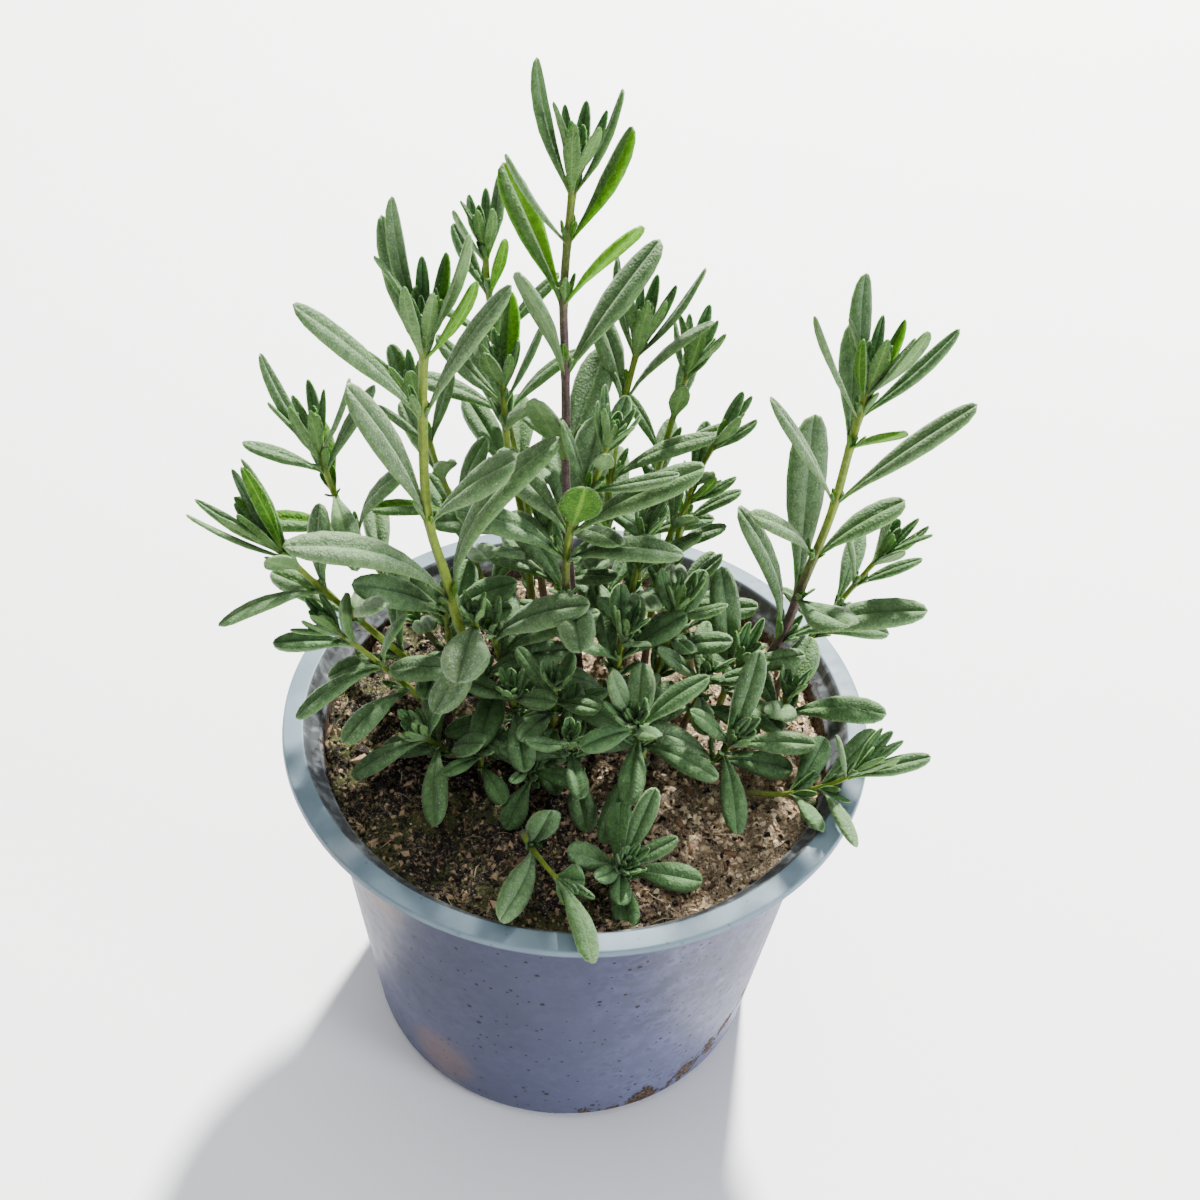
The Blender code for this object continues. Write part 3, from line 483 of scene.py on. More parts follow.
def cut_drain_holes(piece):
    """Cuts the holes through the floor, in a ring halfway between the hub and the foot ring."""
    ring_radius = (HUB_RADIUS + BASE_RADIUS - FOOT_WIDTH) / 2
    cutters = []
    for hole in range(DRAIN_HOLES):
        angle = 2 * math.pi * (hole + 0.5) / DRAIN_HOLES
        points, faces = turned([(0, -5), (DRAIN_RADIUS, -5), (DRAIN_RADIUS, 8), (0, 8)], DRAIN_SIDES)
        shift = Vector((ring_radius * math.cos(angle), ring_radius * math.sin(angle), 0))
        cutter = new_piece(f"drain_cutter_{hole + 1}", [Vector(point) + shift for point in points], faces)
        cut = piece.modifiers.new("Drain hole", "BOOLEAN")
        cut.solver = "EXACT"
        cut.object = cutter
        cutters.append(cutter)
    made_plain(piece)
    for cutter in cutters:
        bpy.data.objects.remove(cutter, do_unlink=True)


outline = divided(rounded(shown_outline()), LONGEST_FACE)
pot = new_piece("nursery_pot", *turned([tuple(point) for point in outline], POT_SIDES), pot_plastic())
cut_drain_holes(pot)
pot.data.set_sharp_from_angle(angle=math.radians(SHARP_EDGE))
mark(pot.data, "smear", [patch_share(vertex.co, SMEARS) for vertex in pot.data.vertices])
mark(pot.data, "mud", [patch_share(vertex.co, MUD) for vertex in pot.data.vertices])
mark(pot.data, "inner", [on_inner_wall(vertex) for vertex in pot.data.vertices])
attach(pot, "root")
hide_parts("pot")


# Soil
# A plug of moist peat potting mix that fills the pot to 8 mm under the rim. Its top is lumpy and
# settled by watering, and it reaches the wall all round and closes about each stem.
SOIL_TOP = 84.0
SOIL_LUMP = 0.9
SOIL_CLEARANCE = 0.5
HOLE_DEPTH = 14.0
TOP_RINGS = 72
TOP_SIDES = 220
SOIL_EDGE = NECK_RADIUS - WALL - 0.35
CLOD_HEIGHT = 1.9
CRUMB_HEIGHT = 1.25
WALL_BAND = 6
WALL_RISE = 3.0

# The soil's colours: where it is wet and nearly black, where it has dried, on its palest grains and where it
# is green
WET_PEAT = (0.008, 0.006, 0.005)
DRY_PEAT = (0.28, 0.195, 0.118)
PALE_PEAT = (0.66, 0.54, 0.37)
GREEN_PEAT = (0.085, 0.100, 0.026)


def inner_radius(height):
    """Radius of the pot's inner wall at a height below the collar."""
    collar_low = POT_HEIGHT - COLLAR_HEIGHT
    top = NECK_RADIUS - WALL - COLLAR_STEP
    low = BASE_RADIUS - WALL
    return low + (top - low) * (height - BASE_CORNER) / (collar_low - BASE_CORNER)


def soil_height(x, y):
    """The soil's uneven top: low mounds of two sizes."""
    broad = math.sin(x * 0.11 + 1.0) * math.cos(y * 0.13 - 0.4)
    small = math.sin(x * 0.37 + y * 0.21) * math.cos(y * 0.41 - x * 0.15)
    return SOIL_TOP + SOIL_LUMP * (0.7 * broad + 0.5 * small)


def crumbled_height(x, y):
    """The soil's top with its clods and crumbs, and how it rises and dips along the wall."""
    clods = noise.fractal(Vector((x, y, 3.0)) * 0.13, 1.0, 2.0, 4)
    crumbs = noise.fractal(Vector((x, y, 9.0)) * 0.5, 0.7, 2.1, 4)
    near_wall = max(0.0, (math.hypot(x, y) - SOIL_EDGE + WALL_BAND) / WALL_BAND)
    climb = near_wall * noise.noise(Vector((x, y, 0)) * 0.08) * WALL_RISE
    return soil_height(x, y) + CLOD_HEIGHT * clods + CRUMB_HEIGHT * crumbs - 0.2 + climb


def plug(edge, top_rings, sides, height_at):
    """Points and faces of a plug that fills the pot, with a top as wide and as uneven as is asked."""
    low = FLOOR_RECESS + FLOOR + GAP
    corner = low + INNER_CORNER + GAP
    shoulder = POT_HEIGHT - COLLAR_HEIGHT - 1.5
    profile = [(0, low), (inner_radius(low) - INNER_CORNER - SOIL_CLEARANCE, low)]
    profile += [(inner_radius(height) - SOIL_CLEARANCE, height) for height in (corner, shoulder)]
    profile += [(edge * (1 - ring / top_rings), SOIL_TOP) for ring in range(top_rings)]
    profile.append((0, SOIL_TOP))
    points, faces = turned(profile, sides)
    return [(x, y, height_at(x, y) if z == SOIL_TOP else z) for x, y, z in points], faces


def dry_and_lit_side(paint):
    """0 on the soil's shaded left and front, and 1 on its right and back, where it has dried and light falls
    on it.
    """
    rightwards = paint.plus(paint.part(paint.place, 0), paint.times(paint.part(paint.place, 1), 0.45))
    return paint.between(rightwards, -28 * MM, 22 * MM)


def peat():
    """Moist peat: nearly black where wet, brown and tan where dried, green where damp; lighter to the right
    and back and darker to the left and front, as painted light and shade.
    """
    paint = MaterialWriter("peat_soil")
    drier_and_lit = dry_and_lit_side(paint)
    grain = paint.cloud(1.3, 7.0, 0.75)
    # Drier to the right and back, which lightens it there as painted light and leaves the left and front
    # dark as painted shade
    dry = paint.between(paint.plus(grain, paint.times(drier_and_lit, 0.14)), 0.49, 0.64)
    colour = paint.blend(dry, WET_PEAT, DRY_PEAT)
    pale = paint.plus(paint.cloud(0.6, 5.0, 0.75), paint.times(drier_and_lit, 0.08))
    colour = paint.blend(paint.between(pale, 0.57, 0.68), colour, PALE_PEAT)
    green = paint.times(paint.between(paint.cloud(9), 0.5, 0.62), paint.minus(1.0, drier_and_lit))
    colour = paint.blend(paint.times(green, 0.6), colour, GREEN_PEAT)
    paint.set("Base Color", colour)
    paint.set("Roughness", 0.9)
    paint.set("Specular IOR Level", 0.3)
    paint.bump([(paint.cells(1.5), 0.7, 0.8), (grain, 1.2, 1.0), (paint.cloud(0.35), 0.25, 0.7)])
    return paint.material


soil = new_piece("peat_plug", *plug(SOIL_EDGE, TOP_RINGS, TOP_SIDES, crumbled_height), peat())
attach(soil, "root")
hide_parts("soil")


# Crumbs and litter on the soil
# What a potting mix shows on top once it has been watered: crumbs of peat, straw-pale fibres and roots,
# grains of white perlite and bits of composted bark, with a little moss where it stays damp.
FIBRE_LINE = [(-0.5, 0, 0), (-0.25, 0.05, 0.05), (0, 0.07, 0.08), (0.28, 0.02, 0.05), (0.5, -0.08, 0.01)]
FIBRE_RADII = (0.012, 0.022, 0.024, 0.02, 0.01)
CHIP_CORNERS = [(-0.5, -0.12), (-0.3, -0.2), (0.42, -0.16), (0.5, 0.05), (0.2, 0.19), (-0.44, 0.12)]

# The power that a random share is raised to, so that most grains are small
SMALL_GRAINS = 2.4

# The colours of crumbs, which go by each one's tone and by the side of the soil it lies on: wet, dry, palest
# and flecked
CRUMB_WET = (0.010, 0.007, 0.006)
CRUMB_DRY = (0.38, 0.262, 0.152)
CRUMB_PALE = (0.90, 0.72, 0.47)
CRUMB_FLECK = (0.48, 0.37, 0.24)


def tree_with_inputs(name, wanted):
    """A Geometry Nodes tree with named inputs. Returns it, its writer and the outputs of its inputs."""
    tree = bpy.data.node_groups.new(name, "GeometryNodeTree")
    tree.is_modifier = True
    for label, kind in wanted:
        tree.interface.new_socket(name=label, in_out="INPUT", socket_type="NodeSocket" + kind)
    tree.interface.new_socket(name="Geometry", in_out="OUTPUT", socket_type="NodeSocketGeometry")
    writer = NodeWriter(tree)
    return tree, writer, writer.add("NodeGroupInput", {}).outputs


def finish_tree(writer, geometry, material, smooth=True):
    """Ends a tree with real geometry in its material."""
    real = writer.add("GeometryNodeRealizeInstances", {"Geometry": geometry}).outputs[0]
    shaded = writer.add("GeometryNodeSetShadeSmooth", {"Geometry": real, "Shade Smooth": smooth}).outputs[0]
    painted = writer.add("GeometryNodeSetMaterial", {"Geometry": shaded, "Material": material}).outputs[0]
    writer.add("NodeGroupOutput", {"Geometry": painted})


def template(writer, source):
    return writer.add("GeometryNodeObjectInfo", {"Object": source}).outputs["Geometry"]


def stored(writer, name, kind="FLOAT"):
    """A number or a vector that the points carry under a name."""
    return writer.add("GeometryNodeInputNamedAttribute", {"Name": name}, data_type=kind).outputs[0]


def random_number(writer, low, high, seed):
    inputs = {2: low, 3: high, "Seed": seed}
    return writer.add("FunctionNodeRandomValue", inputs, data_type="FLOAT").outputs[1]


def turned_further(writer, rotation, angles):
    """A rotation followed by three more angles, given in its own frame."""
    further = writer.add("FunctionNodeEulerToRotation", {0: angles}).outputs[0]
    inputs = {0: rotation, 1: further}
    return writer.add("FunctionNodeRotateRotation", inputs, rotation_space="LOCAL").outputs[0]


def with_number(writer, instances, name, value):
    """The same instances, each with a number of its own for the material to read."""
    inputs = {"Geometry": instances, "Name": name, "Value": value}
    settings = {"data_type": "FLOAT", "domain": "INSTANCE"}
    return writer.add("GeometryNodeStoreNamedAttribute", inputs, **settings).outputs[0]


def strewing_tree():
    """Strews a grain over a surface, where the surface's own numbers allow it."""
    tree, writer, given = tree_with_inputs("strewn_over_a_surface", [
        ("Surface", "Geometry"), ("Grain", "Object"), ("Where", "String"), ("Per square metre", "Float"),
        ("Smallest", "Float"), ("Largest", "Float"), ("Raised", "Float"), ("Tilt", "Float"), ("Seed", "Int"),
        ("Rounded", "Bool"), ("Material", "Material")])
    density = writer.times(stored(writer, given["Where"]), given["Per square metre"])
    spread = writer.add("GeometryNodeDistributePointsOnFaces", {
        "Mesh": given["Surface"], "Density": density, "Seed": given["Seed"]})
    share = writer.math("POWER", random_number(writer, 0.0, 1.0, given["Seed"]), SMALL_GRAINS)
    growth = writer.times(share, writer.minus(given["Largest"], given["Smallest"]))
    size = writer.plus(given["Smallest"], growth)
    lifted = writer.scaled(spread.outputs["Normal"], writer.times(size, given["Raised"]))
    points = writer.add("GeometryNodeSetPosition", {
        "Geometry": spread.outputs["Points"], "Offset": lifted}).outputs[0]
    leaning = writer.times(random_number(writer, -1.0, 1.0, 31), given["Tilt"])
    spinning = random_number(writer, -3.14, 3.14, 32)
    angles = writer.add("ShaderNodeCombineXYZ", {0: leaning, 2: spinning}).outputs[0]
    uneven = writer.add("FunctionNodeRandomValue", {0: (0.7, 0.7, 0.7), 1: (1.25, 1.25, 1.25), "Seed": 33},
                        data_type="FLOAT_VECTOR").outputs[0]
    grains = writer.add("GeometryNodeInstanceOnPoints", {
        "Points": points, "Instance": template(writer, given["Grain"]),
        "Rotation": turned_further(writer, spread.outputs["Rotation"], angles),
        "Scale": writer.scaled(uneven, size)}).outputs[0]
    toned = with_number(writer, grains, "tone", random_number(writer, 0.0, 1.0, 34))
    finish_tree(writer, toned, given["Material"], given["Rounded"])
    return tree


def set_inputs(modifier, values):
    """Sets a modifier's inputs by the names of the tree's sockets, through their identifiers."""
    for socket in modifier.node_group.interface.items_tree:
        if socket.item_type == "SOCKET" and socket.in_out == "INPUT" and socket.name in values:
            modifier[socket.identifier] = values[socket.name]


def strew(name, surface, grain, where, per_area, sizes, material, raised, tilt, seed):
    """A piece made of many grains strewn over another piece.

    Sizes are the smallest and the largest, in millimetres. A grain is raised out of the surface by a
    share of its size, and tilt is the most that it leans, in radians. Broken lumps keep flat faces.
    """
    piece = put_in_scene(name, surface.data.copy())
    modifier = piece.modifiers.new("Strewn", "NODES")
    modifier.node_group = strewing
    set_inputs(modifier, {
        "Grain": grain, "Where": where, "Per square metre": float(per_area), "Smallest": sizes[0] * MM,
        "Largest": sizes[1] * MM, "Raised": raised, "Tilt": tilt, "Seed": seed,
        "Rounded": grain not in (crumb, flake), "Material": material})
    made_plain(piece)
    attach(piece, "root")


def litter_colours():
    """Peat crumbs from black-brown to tan, each with its own tone, and paler to the right and back as
    painted light.
    """
    paint = MaterialWriter("dry_litter")
    # Paler on the right and back: partly dry crumbs, partly painted light
    warmth = paint.plus(paint.attribute("tone"), paint.times(dry_and_lit_side(paint), 0.42))
    colour = paint.blend(paint.between(warmth, 0.54, 0.78), CRUMB_WET, CRUMB_DRY)
    colour = paint.blend(paint.between(warmth, 0.96, 1.16), colour, CRUMB_PALE)
    fleck = paint.between(paint.cloud(0.6, 4.0, 0.7), 0.56, 0.68)
    colour = paint.blend(paint.times(fleck, 0.4), colour, CRUMB_FLECK)
    paint.set("Base Color", colour)
    paint.set("Roughness", 0.9)
    paint.set("Specular IOR Level", 0.3)
    paint.bump([(paint.cloud(0.5, 5.0, 0.7), 0.4, 0.9)])
    return paint.material


def plain_litter(name, dark, light, roughness, grain_size):
    """A matt material between two colours, by the grain's own tone and a fine cloud."""
    paint = MaterialWriter(name)
    share = paint.plus(paint.times(paint.attribute("tone"), 0.7), paint.times(paint.cloud(grain_size), 0.3))
    paint.set("Base Color", paint.blend(share, dark, light))
    paint.set("Roughness", roughness)
    paint.set("Specular IOR Level", 0.3)
    paint.bump([(paint.cloud(grain_size), 0.1, 0.5)])
    return paint.material


def grain_template(name, points, faces):
    """A grain about one metre across, which the strewing scales down. It is taken away at the end."""
    return put_in_scene(name, mesh_facing_outwards(name, points, faces))


def crumb_template(name, flat, seed):
    """A broken lump with flat faces, which is the hull of a few scattered points."""
    draw = random.Random(seed)
    shape = bmesh.new()
    for corner in range(8):
        way = Vector((draw.gauss(0, 1), draw.gauss(0, 1), draw.gauss(0, 1))).normalized()
        way *= draw.uniform(0.33, 0.55)
        shape.verts.new((way.x, way.y, way.z * flat))
    bmesh.ops.convex_hull(shape, input=shape.verts)
    spare = [vertex for vertex in shape.verts if not vertex.link_faces]
    bmesh.ops.delete(shape, geom=spare, context="VERTS")
    shape.verts.index_update()
    points = [tuple(vertex.co) for vertex in shape.verts]
    faces = [[vertex.index for vertex in face.verts] for face in shape.faces]
    shape.free()
    return grain_template(name, points, faces)


def fibre_template(sides=3):
    """A thin bent thread."""
    points = []
    for (x, y, z), radius in zip(FIBRE_LINE, FIBRE_RADII):
        for side in range(sides):
            angle = 2 * math.pi * side / sides
            points.append((x, y + radius * math.cos(angle), z + radius * math.sin(angle)))
    faces = [list(range(sides)), list(range(len(points) - sides, len(points)))]
    return grain_template("fibre", points, faces + ring_faces(len(FIBRE_LINE), sides))


def chip_template():
    """A flat splinter of bark."""
    points = [(x, y, -0.05 + 0.03 * x) for x, y in CHIP_CORNERS]
    points += [(x * 0.9, y * 0.85, 0.07) for x, y in CHIP_CORNERS]
    count = len(CHIP_CORNERS)
    faces = [list(range(count)), list(range(count, 2 * count))]
    return grain_template("chip", points, faces + ring_faces(2, count))


def spike_template(name, width):
    """A thin upright spike of three sides, open below where it is rooted."""
    points = [(width * math.cos(angle), width * math.sin(angle), -0.1) for angle in (0.0, 2.1, 4.2)]
    points.append((0.12, 0, 1))
    return grain_template(name, points, [[0, 1, 3], [1, 2, 3], [2, 0, 3]])


def top_shares(place):
    """How much a point is of the soil's top, of its dry part and of its damp part, each 0 to 1."""
    x, y, z = place / MM
    if z <= SOIL_TOP - 5 or math.hypot(x, y) >= SOIL_EDGE - 0.7:
        return 0.0, 0.0, 0.0
    dryness = 0.5 + 0.013 * (x + 0.6 * y) + 0.5 * noise.noise(Vector((x, y, 2)) * 0.07)
    damp = noise.noise(Vector((x, y, 5)) * 0.1) + 0.5 - 0.012 * (x + 0.6 * y + 20)
    return 1.0, max(0.15, min(1.0, dryness)), max(0.0, min(1.0, (damp - 0.55) * 3))


strewing = strewing_tree()
crumb = crumb_template("crumb", 0.8, 3)
flake = crumb_template("crumb_flake", 0.35, 8)
fibre = fibre_template()
chip = chip_template()
spike = spike_template("spike", 0.13)
shares = [top_shares(vertex.co) for vertex in soil.data.vertices]
for name, values in zip(("top", "dry", "damp"), zip(*shares)):
    mark(soil.data, name, values)
litter = litter_colours()
strew("peat_crumbs", soil, crumb, "top", 540000, (0.45, 2.3), litter, raised=0.0, tilt=3.1, seed=3)
strew("peat_flakes", soil, flake, "top", 200000, (0.6, 3.4), litter, raised=0.05, tilt=0.9, seed=13)
strew("peat_clods", soil, crumb, "top", 34000, (1.8, 5.2), litter, raised=-0.15, tilt=1.5, seed=4)
perlite = plain_litter("perlite", (0.36, 0.33, 0.27), (0.66, 0.62, 0.54), 0.8, 0.4)
strew("perlite_grains", soil, crumb, "dry", 30000, (0.4, 1.3), perlite, raised=0.2, tilt=3.1, seed=5)
straw = plain_litter("straw_fibre", (0.13, 0.09, 0.055), (0.52, 0.41, 0.27), 0.8, 0.6)
strew("peat_fibres", soil, fibre, "dry", 130000, (1.0, 6.5), straw, raised=0.05, tilt=0.5, seed=6)
bark = plain_litter("bark_bit", (0.030, 0.018, 0.012), (0.25, 0.135, 0.070), 0.85, 0.5)
strew("bark_bits", soil, chip, "dry", 26000, (1.0, 4.2), bark, raised=0.08, tilt=0.9, seed=7)
moss = plain_litter("moss", (0.035, 0.050, 0.010), (0.17, 0.20, 0.045), 0.85, 0.6)
strew("moss_tufts", soil, spike, "damp", 1600000, (0.4, 1.2), moss, raised=0.0, tilt=0.8, seed=8)
clinging = [max(0.0, muddy.value - 0.55) * 1.6 for muddy in pot.data.attributes["mud"].data]
mark(pot.data, "clinging", clinging)
dried_mud = plain_litter("dried_mud", (0.022, 0.014, 0.011), (0.13, 0.088, 0.060), 0.9, 0.5)
strew("mud_on_pot", pot, flake, "clinging", 1300000, (0.3, 1.5), dried_mud, raised=-0.05, tilt=0.6, seed=9)


# Leafy shoots
# Each shoot is one grown piece: a square, finely hairy stem with its pairs of leaves, each pair a quarter
# turn from the one below. The leaves are thick and matt, grey-green with felt, with a groove along the
# middle and rolled edges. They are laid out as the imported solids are, from the same rows of numbers.
STEM_SIDES = 4
SHORTEST_STRETCH = 3.5
LONGEST_STRETCH = 34.0
STEM_FOOT_RADIUS = 1.35
STEM_TIP_RADIUS = 0.85
CURVE_STEPS = 12
LEAF_THICKNESS = 1.0
LEAF_CLEARANCE = 0.45
OWN_CLEARANCE = 0.2
YOUNG_CLEARANCE = 0.1
LARGE_LEAF = 21.0
SMALL_LEAF = 12.5
WIDEST_AT = 0.6
LEAF_NECK = 0.2
LEAF_SEAT = 0.35
LEAF_TWIST = 14
TURN_TO_SKY = 0.7
LAYOUT_SEED = 20

# The part of a leaf next to the stem, as a share of it, that may touch the shoot's other leaves
FREE_FOOT = 0.4

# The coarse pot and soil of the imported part, which the leaves are laid out clear of
COARSE_POT_SIDES = 32
COARSE_SOIL_RINGS = 4
COARSE_SOIL_SIDES = 24
COARSE_SOIL_EDGE = NECK_RADIUS - WALL - 0.2 - GAP - 0.4


class Shoot:
    """One leafy stem: the points it passes through above its foot, and its leaf pairs.

    A pair is (place along the stem 0..1, azimuth, spread, length, spread, length, width, arch):
    the first spread and length are the leaf at the azimuth, the second its opposite, and a
    length of 0 leaves the opposite out. The tuft holds the lengths of the young pairs at the tip.
    """

    def __init__(self, name, foot, points, pairs, tuft=(), thick=1.0):
        self.name = name
        self.foot = foot
        self.points = points
        self.pairs = pairs
        self.tuft = tuft
        self.thick = thick


def whorls(count, first, last, azimuth, spread, length, width):
    """Pairs that turn a quarter at each node, and grow shorter and more upright up the stem."""
    pairs = []
    for index in range(count):
        share = index / max(1, count - 1)
        place = first + (last - first) * share ** 0.85
        full = length * (0.82 + 0.5 * share - 0.72 * share * share)
        open_by = spread[0] + (spread[1] - spread[0]) * share
        turn = azimuth + 90 * index
        arch = 0.16 * (1 - share)
        pairs.append((place, turn, open_by, full, open_by - 6, full * 0.92, width * (1 - 0.3 * share), arch))
    return pairs


